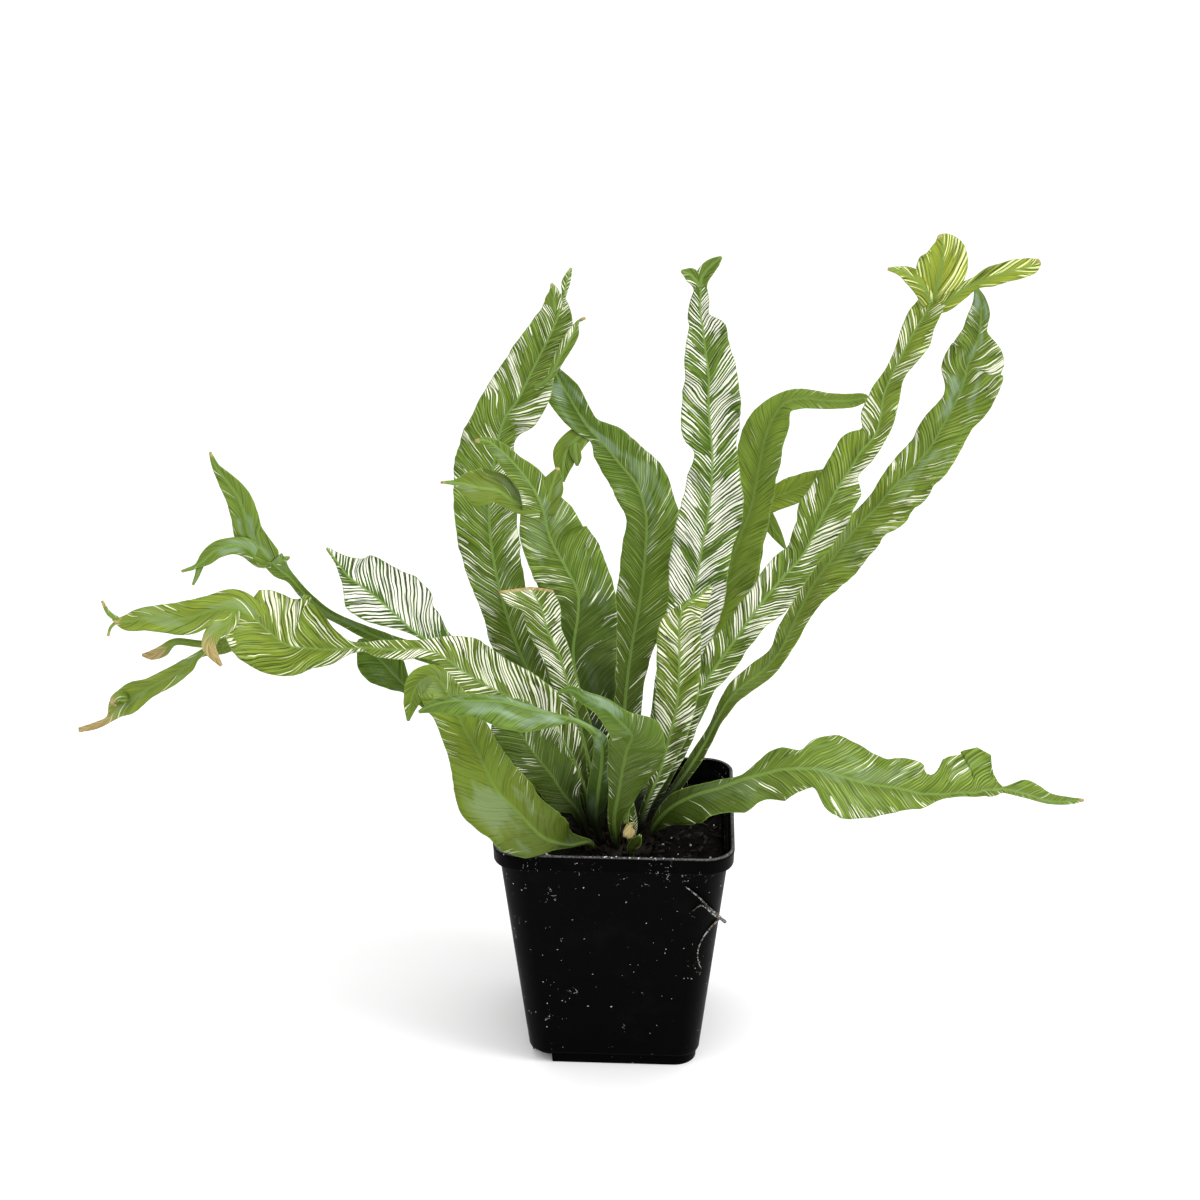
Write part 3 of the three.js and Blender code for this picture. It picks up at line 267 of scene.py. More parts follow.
    Frond("right_back_arching", (5.5, 3.5, 95), 0.12, 2, 40, 0.5, (
        path(-20, (18, 18, 117, 4), (30, 32, 145, 9), (41, 46, 173, 11.5), (48, 56, 200, 10.5, 12.5),
            (56, 62, 223, 9.5, 8.5), (59, 66, 240, 10.5, 9), (61, 67, 251, 10.5, 8.5),
            (64, 68, 260, 8.5, 8, -18), (69, 69, 267, 5, 5, -15), (76, 70, 269, 4.5, 4.5, -10),
            (89, 71, 268, 3.5, 3.5, -10), (98, 72, 268, 3, 3, -10), (104, 72, 269, 2, 2, -10),
            (107, 72, 266, 0.5, 0.5, -10)),
    )),
    Frond("right_back_small", (10, 5.5, 95.5), 0.1, 1.2, 34, 0, (
        path(-18, (26, 30, 119, 2.5), (41, 52, 151, 3.5, 4.5), (50, 64, 178, 4.5, 8),
            (55, 72, 197, 5.5, 6.5), (59, 77, 209, 5.5, 4.5), (62, 80, 218, 4.5, 5.5), (73, 82, 223, 6),
            (82, 83, 227, 5.5), (92, 84, 234, 0.5)),
        path(0, (61, 79, 216, 3.5), (64, 78, 211, 3.5), (68, 76, 205, 2.5), (72, 74, 199, 0.5)),
    )),
    Frond("right_long_striped", (10, -5, 95), 0.16, 2.4, 32, 0.7, (
        path(-24, (20, -4, 121, 3), (27, -1, 138, 5, 4.5), (33, 3, 155, 6, 4.5), (43, 8, 171, 7, 6.5),
            (49, 11, 179, 7), (55, 13, 188, 7.5), (63, 17, 198, 6.5, 9.5), (70, 20, 206, 8, 10),
            (77, 22, 214, 7.5), (82, 25, 224, 8, 9), (86, 27, 232, 10.5, 11), (92, 30, 243, 9.5, 10),
            (96, 32, 249, 9, 4), (100, 33, 256, 9, 6.5), (106, 35, 263, 6.5, 5), (108, 37, 271, 7.5, 5.5),
            (109, 39, 279, 5, 6.5), (113, 41, 289, 3.5, 5.5), (117, 42, 298, 4, 7.5),
            (121, 43, 306, 5, 7.5), (125, 44, 313, 5.5, 6), (127, 45, 318, 4.5, 6.5)),
        path(0, (127, 45, 316, 5), (128, 45, 318, 6), (129, 43, 325, 9), (130, 41, 333, 10.5),
            (130, 40, 340, 9), (129, 39, 344, 5), (128, 38, 346, 1)),
        path(0, (127, 45, 316, 4), (124, 43, 323, 4.5), (117, 41, 329, 3.5), (113, 40, 331, 2),
            (108, 39, 332, 0.5)),
        path(-12, (127, 45, 316, 3.5), (132, 43, 317, 3.5), (138, 42, 322, 3.5), (144, 41, 326, 2.5),
            (150, 39, 329, 4), (159, 38, 332, 4.5), (166, 38, 334, 3.5), (169, 38, 336, 1)),
    )),
    Frond("far_right_tall", (13, 1, 95), 0.14, 2, 38, 0, (
        path(-30, (32, 10, 122, 2.5), (38, 14, 131, 2.5, 2.5, -40), (44, 19, 142, 2.5, 2.5, -48),
            (48, 22, 148, 3, 3, -48), (54, 25, 153, 4, 4, -45), (62, 29, 158, 5, 5, -40),
            (69, 32, 166, 4, 4, -40), (73, 35, 174, 4.5, 4.5, -35), (77, 38, 182, 4, 5.5, -35),
            (82, 41, 192, 4.5, 8.5, -32), (88, 43, 201, 5.5, 10.5), (94, 45, 209, 6.5, 11.5),
            (102, 48, 219, 6, 13), (109, 50, 226, 5.5, 12.5), (115, 51, 234, 5.5, 12.5),
            (123, 54, 242, 7.5, 13.5), (131, 56, 251, 8.5, 12, -28), (137, 58, 262, 7.5, 11, -25),
            (142, 60, 272, 5.5, 13.5, -22), (145, 61, 281, 9.5, 16, -20), (146, 62, 287, 10.5, 14, -18),
            (148.5, 62, 292, 10, 13, -15), (149.5, 62, 297, 8.5, 8.5, -15), (150, 62, 302, 6.5, 3, -15),
            (150, 61, 309, 5.5, 3.5, -15), (149, 60, 315, 3, 2.5, -15), (147, 59, 320, 1, 1, -15)),
    )),
    Frond("front_right_striped", (7, -15, 95), 0.14, 1.2, 28, 0, (
        path(-10, (14, -26, 122, 2), (19, -31, 138, 4), (22, -34, 152, 4.5, 6), (25, -36, 167, 8.5, 7.5),
            (26, -37, 180, 9, 8.5), (26, -38, 195, 9, 8.5), (26, -39, 206, 7, 8.5),
            (28, -39, 213, 1.5, 8.5), (34, -38, 217, 1, 4.5), (38, -38, 221, 0.5, 1)),
    )),
    Frond("young_folded", (5, -19.5, 95), 0.1, 0.2, 20, 0, (
        path(0, (8, -26, 109, 1.5), (7, -28, 119, 1.5), (6, -30, 123, 2, 1.5), (5, -32, 120, 1.5),
            (5, -33, 114, 1)),
        path(0, (8, -26, 109, 1.5), (7, -29, 111, 2), (6, -31, 109, 2.5), (5, -32, 107, 1.5)),
    )),
    Frond("young_tip", (6.5, -26, 95), 0.1, 0.2, 20, 0, (
        path(0, (7, -30, 101, 2), (9, -32, 105, 2.5), (11, -33, 109, 0.5)),
    )),
    Frond("right_horizontal", (13, -11, 95), 0.1, 2.4, 46, 0.5, (
        path(-20, (17, -15, 105, 2, 2.5), (22, -20, 114, 4, 6.5), (27, -24, 120, 4.5, 9.5),
            (35, -28, 126, 3.5, 11), (43, -31, 130, 3.5, 10), (52, -33, 135, 2, 13),
            (60, -34, 138, 5.5, 9.5), (68, -35, 141, 8, 12), (76, -36, 142, 7, 9), (82, -36, 142, 13, 8),
            (89, -36, 140, 15.5), (96, -36, 138, 15, 16.5), (103, -36, 136, 12.5, 14),
            (110, -36, 135, 10, 11), (117, -36, 134, 11.5, 9), (125, -36, 132, 10, 6),
            (129, -36, 132, 7.5, 4), (135, -36, 132, 13.5, 1.5), (141, -36, 133, 15, 1.5),
            (147, -36, 133, 18, 1.5), (151, -35, 134, 16.5, 2.5), (154, -35, 134, 9.5, 2.5),
            (158, -34, 134, 1, 1.5), (167, -34, 132, 5.5, 1.5), (177, -34, 129, 3.5, 1),
            (185, -34, 129, 2, 1), (191, -34, 130, 0.5)),
    )),
)

# The strands of the fine root over the front right corner: radius at the start and
# the end, then how far round the wall each point lies from the middle of the front,
# its height and how far it stands off the wall.
ROOT_STRANDS = (
    (0.25, 0.8, ((30, 93, 0.2), (35, 88.5, 0.4), (39.5, 82.5, 0.9), (44, 77, 1.2), (47.5, 72.5, 1.6),
                 (50, 69.5, 2.8))),
    (0.3, 0.35, ((33, 81, 0.3), (36.5, 84, 0.7), (41, 79, 1.1), (46, 73.5, 1.2))),
    (0.4, 0.2, ((47, 73, 0.8), (43, 72.5, 0.5), (39, 69, 0.3), (36.5, 64.5, 0.3), (35.5, 58.5, 0.2),
                (36.5, 53, 0.2), (38.5, 49, 0.1))),
)
STRAND_SIDE = Vector((0.2, 0.3, 0.9))

# The finish of a frond. cream and yellow are the share of cream and how yellow its
# green is, and the next field the share of painted sheen, a painted highlight of pale
# bluish patches where the smooth blades catch the light, each at the foot, the middle,
# the tip and on the lobes. streak is the breadth of a streak in millimetres, pale how
# pale its green is, and rough its roughness. dry is how far its tip and those of its
# lobes in turn are dried, as a share of their length. rib is how clearly its midrib is
# seen, stalk how many millimetres of its foot are dark, and crease how many millimetres
# up a crease crosses it, with painted shade below it.
Look = namedtuple(
    "Look", "slot cream yellow bloom streak pale rough dry rib stalk crease",
    defaults=((0, 0, 0, 0), 0.62, 0.15, 0.4, (0,), 0.8, 34, 0.0))
PLAIN, LIGHT, STRIPED, HEAVY, YOUNG = (
    "leaf_plain", "leaf_lightly_striped", "leaf_striped", "leaf_heavily_striped", "leaf_young")
LOOKS = {
    "front_left_broad": Look(
        LIGHT, (0, 0.02, 0.06, 0), (0.34, 0.36, 0.26, 0), (0, 0.3, 0.1, 0), rib=0.35, stalk=14),
    "low_left_smooth": Look(
        PLAIN, (0, 0, 0, 0), (0.06, 0.02, 0.1, 0), (0.1, 0.8, 0.4, 0), pale=0.35, rough=0.3,
        rib=0.6),
    "front_centre_recurved": Look(
        LIGHT, (0.1, 0.1, 0, 0), (0.3, 0.16, 0.04, 0), (0, 0, 0.9, 0), pale=0, rough=0.32,
        rib=0.35, stalk=20),
    "front_left_striped": Look(
        STRIPED, (0.02, 0.14, 0.4, 0), (0.16, 0.16, 0.12, 0), pale=0, rib=0.3),
    "long_left_forked": Look(
        STRIPED, (0.35, 0.46, 0.32, 0.18), (0.2, 0.26, 0.42, 0.56), (0, 0, 0, 0.3), 0.85, 0.15,
        dry=(0, 0.06, 0.5, 0.2, 0.36, 0.25, 0.3, 0.5), rib=0.6),
    "left_white_striped": Look(
        HEAVY, (0.36, 0.44, 0.52, 0), (0.05, 0.02, 0, 0), streak=0.92, pale=0.1, rough=0.45),
    "left_crested": Look(
        STRIPED, (0.02, 0.02, 0.06, 0.12), (0.06, 0.08, 0.12, 0.2), (0.1, 0.2, 0.3, 0.5),
        pale=0.25, rough=0.36, dry=(0, 0.04), rib=0.6),
    "low_left_round": Look(
        PLAIN, (0, 0, 0, 0), (0.1, 0.06, 0.05, 0), (0, 0.3, 0.3, 0), pale=0.35, rough=0.34,
        rib=0.6),
    "left_tall": Look(
        STRIPED, (0.12, 0.22, 0.34, 0.28), (0.18, 0.14, 0.22, 0.3), (0.3, 0.1, 0, 0),
        dry=(0, 0.05)),
    "centre_left_creased": Look(
        STRIPED, (0.14, 0.15, 0.14, 0.1), (0.18, 0.12, 0.2, 0.4), (0, 0.1, 0.3, 0.3), rough=0.38,
        dry=(0.01, 0.05), crease=107),
    "centre_small_striped": Look(
        HEAVY, (0.16, 0.42, 0.56, 0), (0.12, 0.16, 0.24, 0), streak=0.66, rough=0.42,
        dry=(0.013,)),
    "centre_tall_green": Look(
        LIGHT, (0.13, 0.13, 0.05, 0), (0.24, 0.16, 0.06, 0.3), (0, 0, 0.8, 0.2), 0.66,
        pale=0.1, rough=0.34),
    "centre_tall_striped": Look(
        HEAVY, (0.42, 0.54, 0.46, 0.25), (0.1, 0.04, 0.1, 0.2), streak=0.76, rough=0.42),
    "right_back_arching": Look(
        PLAIN, (0.12, 0.02, 0, 0), (0.36, 0.26, 0.2, 0), pale=0.62, rib=0.5),
    "right_back_small": Look(
        PLAIN, (0, 0, 0, 0), (0.36, 0.4, 0.44, 0.34), pale=0.3, rough=0.42, rib=0.5),
    "right_long_striped": Look(
        HEAVY, (0.3, 0.38, 0.23, 0.34), (0.24, 0.16, 0.4, 1), streak=0.82, rough=0.42,
        dry=(0, 0.025)),
    "far_right_tall": Look(
        LIGHT, (0.04, 0.14, 0.26, 0), (0.3, 0.34, 0.16, 0), (0, 0.1, 1, 0), 0.9, 0.5, 0.36),
    "front_right_striped": Look(
        HEAVY, (0.3, 0.5, 0.5, 0), (0.18, 0.26, 0.44, 0), streak=0.85, pale=0.25),
    "young_folded": Look(
        YOUNG, (0.3, 0.4, 0.3, 0.3), (0.2, 0.2, 0.3, 0.6), pale=0.8, rough=0.45, dry=(0, 1),
        rib=0.1, stalk=4),
    "young_tip": Look(
        YOUNG, (0, 0.05, 0.1, 0), (0.3, 0.36, 0.4, 0), pale=0.2, rough=0.45, rib=0.1, stalk=4),
    "right_horizontal": Look(
        LIGHT, (0, 0.12, 0.1, 0), (0.2, 0.22, 0.24, 0), (0, 0.2, 0.1, 0), 0.72, rough=0.38,
        dry=(0.01,), rib=0.6, stalk=16),
}

# What a blade's mesh and its material share: its own measures, and the colours. The
# film measure holds the share of painted sheen, a painted highlight.
BLADE_MEASURES = ("blade", "reach", "tone", "film")
BLADE_COLOURS = (
    "green", "yellow", "pale", "deep", "cream", "butter", "rib", "dry", "sheen", "stalk")

# Marks on a blade, in millimetres: how broad they are, how long along the veins, and
# their noise's detail
ZONES = (17, 16, 2)
FINE_LINES = (0.55, 16, 2)
WANDERING = (5, 40, 1)
SCATTERED_LINES = (0.7, 11, 1)
PALE_LINES = (1.3, 14, 1)
RIDGES = (1.5, 60, 1)
STREAK_LENGTH = 18
# Veins: how far up the blade one runs for each millimetre outwards, how much steeper
# on a lobe, and how it bends
VEIN_SLOPE = 1.25
LOBE_SLOPE = 1.6
VEIN_BEND = -0.015
# Where along a blade the shade of its foot ends and where it is full
SHADE_END = 130
SHADE_FULL = 10


COLOUR = {"subtype": "COLOR", "size": 3, "min": 0, "max": 1}
SHARE = {"subtype": "FACTOR", "min": 0, "max": 1}
LENGTH = {"subtype": "DISTANCE", "unit": "LENGTH"}


class FernPotSettings(bpy.types.PropertyGroup):
    """Colour and dust of the pot."""

    colour: bpy.props.FloatVectorProperty(
        name="Plastic", description="Colour of the pot's plastic",
        **COLOUR, default=(0.0006, 0.0006, 0.0007))
    rough: bpy.props.FloatProperty(
        name="Roughness", description="Roughness of the clean plastic",
        **SHARE, default=0.36)
    dust: bpy.props.FloatProperty(
        name="Dust", description="Share of the wall that holds pale specks",
        **SHARE, default=0.35)
    corner_steps: bpy.props.IntProperty(
        name="Corner steps", description="Steps round each corner of the pot",
        min=3, max=32, default=14)


class FernSoilSettings(bpy.types.PropertyGroup):
    """The potting mix and the crown that stands in it."""

    colour: bpy.props.FloatVectorProperty(
        name="Soil", description="Colour of the damp potting mix",
        **COLOUR, default=(0.0022, 0.0016, 0.0012))
    grains: bpy.props.IntProperty(
        name="Pale grains", description="Number of white grains on the soil and the rim",
        min=0, max=2000, default=150)
    chips: bpy.props.IntProperty(
        name="Bark chips", description="Number of bark chips on the soil",
        min=0, max=2000, default=420)
    scales: bpy.props.IntProperty(
        name="Crown scales", description="Number of dark papery scales on the crown",
        min=0, max=3000, default=520)
    seed: bpy.props.IntProperty(
        name="Seed", description="Start of the random placing", min=0, default=11)


class FernFrondSettings(bpy.types.PropertyGroup):
    """Sizes and colours that all the fronds share."""

    thickness: bpy.props.FloatProperty(
        name="Thickness", description="Thickness of the blade between its veins",
        **LENGTH, min=0.0003, max=0.003, default=0.0006)
    step: bpy.props.FloatProperty(
        name="Step", description="Length of a mesh face along the blade",
        **LENGTH, min=0.0005, max=0.02, default=0.0013)
    across: bpy.props.IntProperty(
        name="Faces across", description="Mesh faces across half of a blade",
        min=2, max=24, default=9)
    fray: bpy.props.FloatProperty(
        name="Uneven margin", description="How far the margin wanders, as a share of the breadth",
        subtype="FACTOR", min=0, max=0.3, default=0.07)
    green: bpy.props.FloatVectorProperty(
        name="Green", description="Main green of the blades",
        **COLOUR, default=(0.045, 0.115, 0.006))
    yellow: bpy.props.FloatVectorProperty(
        name="Yellow green", description="Green of the yellower blades",
        **COLOUR, default=(0.4, 0.46, 0.03))
    pale: bpy.props.FloatVectorProperty(
        name="Pale green", description="Green of the paler blades and of faint streaks",
        **COLOUR, default=(0.17, 0.28, 0.04))
    # Deep green also colours the painted shade at the foot of each blade and below a crease.
    deep: bpy.props.FloatVectorProperty(
        name="Deep green", description="Green of the dark lines and of the blade beside the midrib",
        **COLOUR, default=(0.004, 0.011, 0.0015))
    cream: bpy.props.FloatVectorProperty(
        name="Cream", description="Near white of the streaks on the green blades",
        **COLOUR, default=(0.92, 0.93, 0.8))
    butter: bpy.props.FloatVectorProperty(
        name="Butter", description="Yellower cream of the streaks on the yellower blades",
        **COLOUR, default=(0.8, 0.86, 0.36))
    rib: bpy.props.FloatVectorProperty(
        name="Midrib", description="Colour of the midribs",
        **COLOUR, default=(0.17, 0.28, 0.06))
    dry: bpy.props.FloatVectorProperty(
        name="Dry", description="Tan of dried tips",
        **COLOUR, default=(0.27, 0.15, 0.055))
    # Painted highlight: the colour of the pale bluish sheen patches on the smooth blades.
    sheen: bpy.props.FloatVectorProperty(
        name="Sheen", description="Pale film on the smooth blades",
        **COLOUR, default=(0.42, 0.56, 0.46))
    stalk: bpy.props.FloatVectorProperty(
        name="Stalk", description="Colour of the stalks near the crown",
        **COLOUR, default=(0.006, 0.008, 0.003))


class FernStageSettings(bpy.types.PropertyGroup):
    """Camera, floor and light."""

    lens: bpy.props.FloatProperty(
        name="Lens", description="Focal length of the camera",
        subtype="DISTANCE_CAMERA", min=20, max=200, default=60)
    floor: bpy.props.FloatProperty(
        name="Floor", description="Radius of the floor",
        **LENGTH, min=1, max=50, default=14)
    zenith: bpy.props.FloatProperty(
        name="Light from above", description="Strength of the ambient light straight above",
        min=0, max=5, default=1.35)
    horizon: bpy.props.FloatProperty(
        name="Light from the sides", description="Strength of the ambient light at the horizon",
        min=0, max=5, default=0.62)
    key: bpy.props.FloatProperty(
        name="Key light", description="Power of the main lamp",
        subtype="POWER", unit="POWER", min=0, max=500, default=16)


class Maker:
    """Adds shader nodes to a tree and joins them."""

    def __init__(self, tree):
        self.tree = tree

    def feed(self, socket, value):
        if isinstance(value, bpy.types.NodeSocket):
            self.tree.links.new(value, socket)
        elif hasattr(socket.default_value, "__len__") and len(value) == 3 and socket.type == "RGBA":
            socket.default_value = (*value, 1)
        else:
            socket.default_value = value

    def node(self, kind, settings=(), **inputs):
        made = self.tree.nodes.new(kind)
        made.location = (220 * (len(self.tree.nodes) % 12), -260 * (len(self.tree.nodes) // 12))
        for key, value in dict(settings).items():
            setattr(made, key, value)
        for key, value in inputs.items():
            self.feed(made.inputs[key.replace("_", " ")], value)
        return made

    def math(self, operation, *values, clamp=False):
        made = self.node("ShaderNodeMath", {"operation": operation, "use_clamp": clamp})
        for socket, value in zip(made.inputs, values):
            self.feed(socket, value)
        return made.outputs[0]

    def chain(self, operation, first, *others):
        for other in others:
            first = self.math(operation, first, other)
        return first

    times = partialmethod(chain, "MULTIPLY")
    over = partialmethod(chain, "DIVIDE")
    plus = partialmethod(chain, "ADD")
    less = partialmethod(chain, "SUBTRACT")
    most = partialmethod(chain, "MAXIMUM")
    # A value times a factor, and then a shift added
    scaled = partialmethod(math, "MULTIPLY_ADD")

    def step(self, value, low, high):
        """0 up to low and 1 past high, smoothly; the other way round where low is the higher."""
        made = self.node("ShaderNodeMapRange", {"interpolation_type": "SMOOTHSTEP"})
        for key, fed in (("Value", value), ("From Min", low), ("From Max", high)):
            self.feed(made.inputs[key], fed)
        return made.outputs["Result"]

    def vector(self, x, y, z):
        return self.node("ShaderNodeCombineXYZ", X=x, Y=y, Z=z).outputs[0]

    def parts(self, vector):
        made = self.node("ShaderNodeSeparateXYZ", Vector=vector)
        return made.outputs[0], made.outputs[1], made.outputs[2]

    def noise(self, vector, scale=1.0, detail=2.0, roughness=0.5):
        return self.node("ShaderNodeTexNoise", Vector=vector, Scale=scale, Detail=detail,
                         Roughness=roughness).outputs[0]

    def mix(self, share, low, high):
        made = self.node("ShaderNodeMix", {"data_type": "RGBA"})
        for number, fed in ((0, share), (6, low), (7, high)):
            self.feed(made.inputs[number], fed)
        return made.outputs[2]

    def attribute(self, name):
        return self.node("ShaderNodeAttribute", {"attribute_name": name}).outputs["Vector"]

    def sized(self, vector, x, y=None, z=None):
        """The coordinates multiplied by x, or by x, y and z."""
        scale = (x, x if y is None else y, x if z is None else z)
        return self.node("ShaderNodeMapping", Vector=vector, Scale=scale).outputs[0]

    def place(self, scale=1000):
        """Object coordinates, with scale units to the metre."""
        return self.sized(self.node("ShaderNodeTexCoord").outputs["Object"], scale)


def new_group(name, inputs, outputs):
    """Shader node group with the sockets that are named for each kind: maker, inputs and end."""
    tree = bpy.data.node_groups.new(name, "ShaderNodeTree")
    for side, sockets in (("INPUT", inputs), ("OUTPUT", outputs)):
        for kind, labels in sockets.items():
            for label in labels:
                tree.interface.new_socket(label, in_out=side, socket_type="NodeSocket" + kind)
    maker = Maker(tree)
    start = maker.node("NodeGroupInput")
    end = maker.node("NodeGroupOutput")
    return maker, start.outputs, end


def use_group(maker, name, **inputs):
    made = maker.node("ShaderNodeGroup", {"node_tree": bpy.data.node_groups[name]})
    for key, value in inputs.items():
        maker.feed(made.inputs[key.replace("_", " ")], value)
    return made.outputs


def new_material(name, rough=0.5):
    """Material with a plain Principled shader; returns it, its maker and the shader."""
    material = bpy.data.materials.new(name)
    material.use_nodes = True
    shader = material.node_tree.nodes["Principled BSDF"]
    shader.inputs["Roughness"].default_value = rough
    return material, Maker(material.node_tree), shader


def add_bump(maker, shader, height, strength, distance):
    bump = maker.node("ShaderNodeBump", Height=height, Strength=strength, Distance=distance)
    maker.feed(shader.inputs["Normal"], bump.outputs[0])


def speck_group():
    """Small scattered specks: a mask that is 1 on them."""
    maker, given, end = new_group(
        "specks", {"Vector": ["Vector"], "Float": ["Amount", "Size"]}, {"Float": ["Mask"]})
    wander = maker.noise(given["Vector"], 0.9, 3.0)
    shifted = maker.node("ShaderNodeVectorMath", {"operation": "ADD"})
    maker.feed(shifted.inputs[0], given["Vector"])
    maker.feed(shifted.inputs[1], maker.vector(wander, wander, wander))
    cells = maker.node("ShaderNodeTexVoronoi", Vector=shifted.outputs[0], Scale=1.0)
    pick, extent, _ = maker.parts(cells.outputs["Color"])
    reach = maker.times(given["Size"], maker.scaled(extent, 0.8, 0.3))
    dot = maker.math("LESS_THAN", cells.outputs["Distance"], reach)
    clumps = maker.step(maker.noise(given["Vector"], 0.16, 2.0), 0.42, 0.68)
    share = maker.times(given["Amount"], maker.scaled(clumps, 0.8, 0.2))
    chosen = maker.math("LESS_THAN", pick, share)
    maker.feed(end.inputs["Mask"], maker.times(dot, chosen))


def drawn_out(maker, blade, seed, width, length, detail=1):
    """Noise drawn out along the veins: width and length of its marks in millimetres."""
    return maker.noise(maker.vector(
        maker.over(blade.vein, width), maker.over(blade.out, length), seed), 1, detail)


def blade_measures(maker, given):
    """The blade's own measures, and where each point lies along its vein."""
    own = SimpleNamespace()
    own.along, across, seed = maker.parts(given["Blade"])
    own.share, own.margin, own.lobe = maker.parts(given["Reach"])
    own.creamy, own.yellowish, own.dry = maker.parts(given["Tone"])
    own.out = maker.math("ABSOLUTE", across)
    own.edge = maker.over(own.out, maker.plus(own.out, own.margin, 0.01))
    own.seed = maker.scaled(maker.math("SIGN", across), 5.3, seed)
    own.seeds = [maker.plus(own.seed, shift) for shift in (17, 31, 57, 83, 91)]
    slope = maker.scaled(own.lobe, LOBE_SLOPE, VEIN_SLOPE)
    bend = maker.times(own.out, maker.scaled(own.out, VEIN_BEND, slope))
    waver = maker.noise(maker.vector(
        maker.times(own.along, 0.09), maker.times(own.out, 0.12), own.seed))
    vein = maker.less(maker.scaled(waver, 2.4, own.along), bend)
    own.vein = maker.times(vein, maker.scaled(own.lobe, -0.5, 1))
    return own


def add_streaks(maker, own, breadth):
    """Where the blade is cream, and where dark lines run through it and beside it."""
    zone = maker.step(drawn_out(maker, own, own.seeds[0], *ZONES), 0.38, 0.62)
    own.fine = drawn_out(maker, own, own.seeds[1], *FINE_LINES)
    striped = maker.step(own.creamy, 0.08, 0.45)
    wander = drawn_out(maker, own, own.seeds[4], *WANDERING)
    own.comb = maker.math("SINE", maker.scaled(
        wander, 12, maker.over(own.vein, maker.times(breadth, 0.36))))
    bands = drawn_out(maker, own, own.seed, breadth, STREAK_LENGTH)
    limit = maker.scaled(own.creamy, -0.42, 0.76)
    limit = maker.scaled(maker.less(0.5, zone), maker.scaled(striped, 0.12, 0.14), limit)
    limit = maker.scaled(maker.less(0.5, own.edge), 0.12, limit)
    near_cream = maker.step(maker.less(bands, limit), -0.08, 0.03)
    over = maker.less(maker.scaled(maker.times(own.comb, striped), 0.11, bands), limit)
    own.cream = maker.step(over, -0.01, 0.025)
    own.beside = maker.times(
        maker.step(over, -0.09, -0.02), maker.step(own.edge, 0.1, 0.6), 0.5)
    groove = maker.times(
        maker.step(own.comb, -0.25, -0.75), striped, near_cream,
        maker.step(own.fine, 0.3, 0.4), maker.step(own.edge, 0, 0.4))
    scattered = maker.step(drawn_out(maker, own, own.seeds[2], *SCATTERED_LINES), 0.6, 0.66)
    own.dark = maker.most(groove, maker.times(scattered, maker.scaled(striped, 0.3, 0.45)))


def green_ground(maker, given, own):
    """The green of the blade with its pale and dark lines, and the painted shade at its foot and below a
    crease.
    """
    own.tone = maker.step(maker.noise(maker.vector(
        maker.times(own.along, 0.035), maker.times(own.out, 0.07), own.seeds[3]), 1, 3), 0.3, 0.7)
    green = maker.mix(own.yellowish, given["Green"], given["Yellow"])
    lined = maker.times(maker.scaled(maker.step(own.creamy, 0.03, 0.13), 0.65, 0.08),
                        maker.scaled(own.lobe, -0.6, 1))
    some = drawn_out(maker, own, own.seeds[2], *PALE_LINES)
    crest = maker.times(maker.step(own.comb, 0.35, 0.9), lined, maker.step(some, 0.46, 0.58))
    trough = maker.times(maker.step(own.comb, -0.4, -0.9), lined, maker.step(some, 0.6, 0.44))
    light = maker.scaled(own.tone, 0.25, maker.times(maker.step(own.fine, 0.46, 0.72), 0.5))
    light = maker.scaled(own.lobe, 0.15, light, clamp=True)
    green = maker.mix(light, green, given["Pale"])
    green = maker.mix(crest, green, maker.mix(0.3, given["Pale"], given["Butter"]))
    lines = maker.most(maker.times(maker.step(own.fine, 0.5, 0.3), 0.5), maker.times(trough, 0.7))
    near = maker.times(maker.step(own.out, 5, 0.8), 0.3)
    # Painted shade: the main blade darkens towards its foot among the other fronds; the lobes don't.
    low = maker.times(maker.step(own.along, SHADE_END, SHADE_FULL),
                      maker.math("SUBTRACT", 0.75, own.lobe, clamp=True))
    # Painted shade: the blade is darker below its crease.
    below = maker.times(maker.step(maker.less(own.along, given["Crease"]), 1, -1),
                        maker.step(given["Crease"], 0, 1))
    low = maker.scaled(below, 0.35, low, clamp=True)
    return maker.mix(maker.most(lines, maker.most(near, low)), green, given["Deep"])


def streaked(maker, given, own, green):
    """The streaks, the dark lines and the painted sheen, a painted highlight, over the green."""
    cream = maker.mix(own.yellowish, given["Cream"], given["Butter"])
    faint = maker.scaled(maker.step(own.fine, 0.6, 0.35), 0.25,
                         maker.times(maker.step(own.creamy, 0.12, 0), 0.5))
    cream = maker.mix(faint, cream, given["Pale"])
    colour = maker.mix(own.beside, green, given["Deep"])
    colour = maker.mix(own.cream, colour, cream)
    colour = maker.mix(maker.times(own.dark, 0.92), colour, given["Deep"])
    # Painted highlight: pale bluish sheen patches where the smooth blades catch the light, kept off the
    # margins and scaled by the film measure.
    film = maker.noise(maker.vector(
        maker.over(own.along, 20), maker.over(own.out, 8), own.seeds[4]), 1, 2)
    film = maker.times(maker.step(film, 0.52, 0.66), maker.step(own.edge, 0.95, 0.6),
                       maker.times(maker.parts(given["Film"])[0], 0.5))
    colour = maker.mix(film, colour, given["Sheen"])
    return maker.mix(maker.times(maker.step(own.margin, 0.45, 0.2), 0.5), colour, given["Pale"])


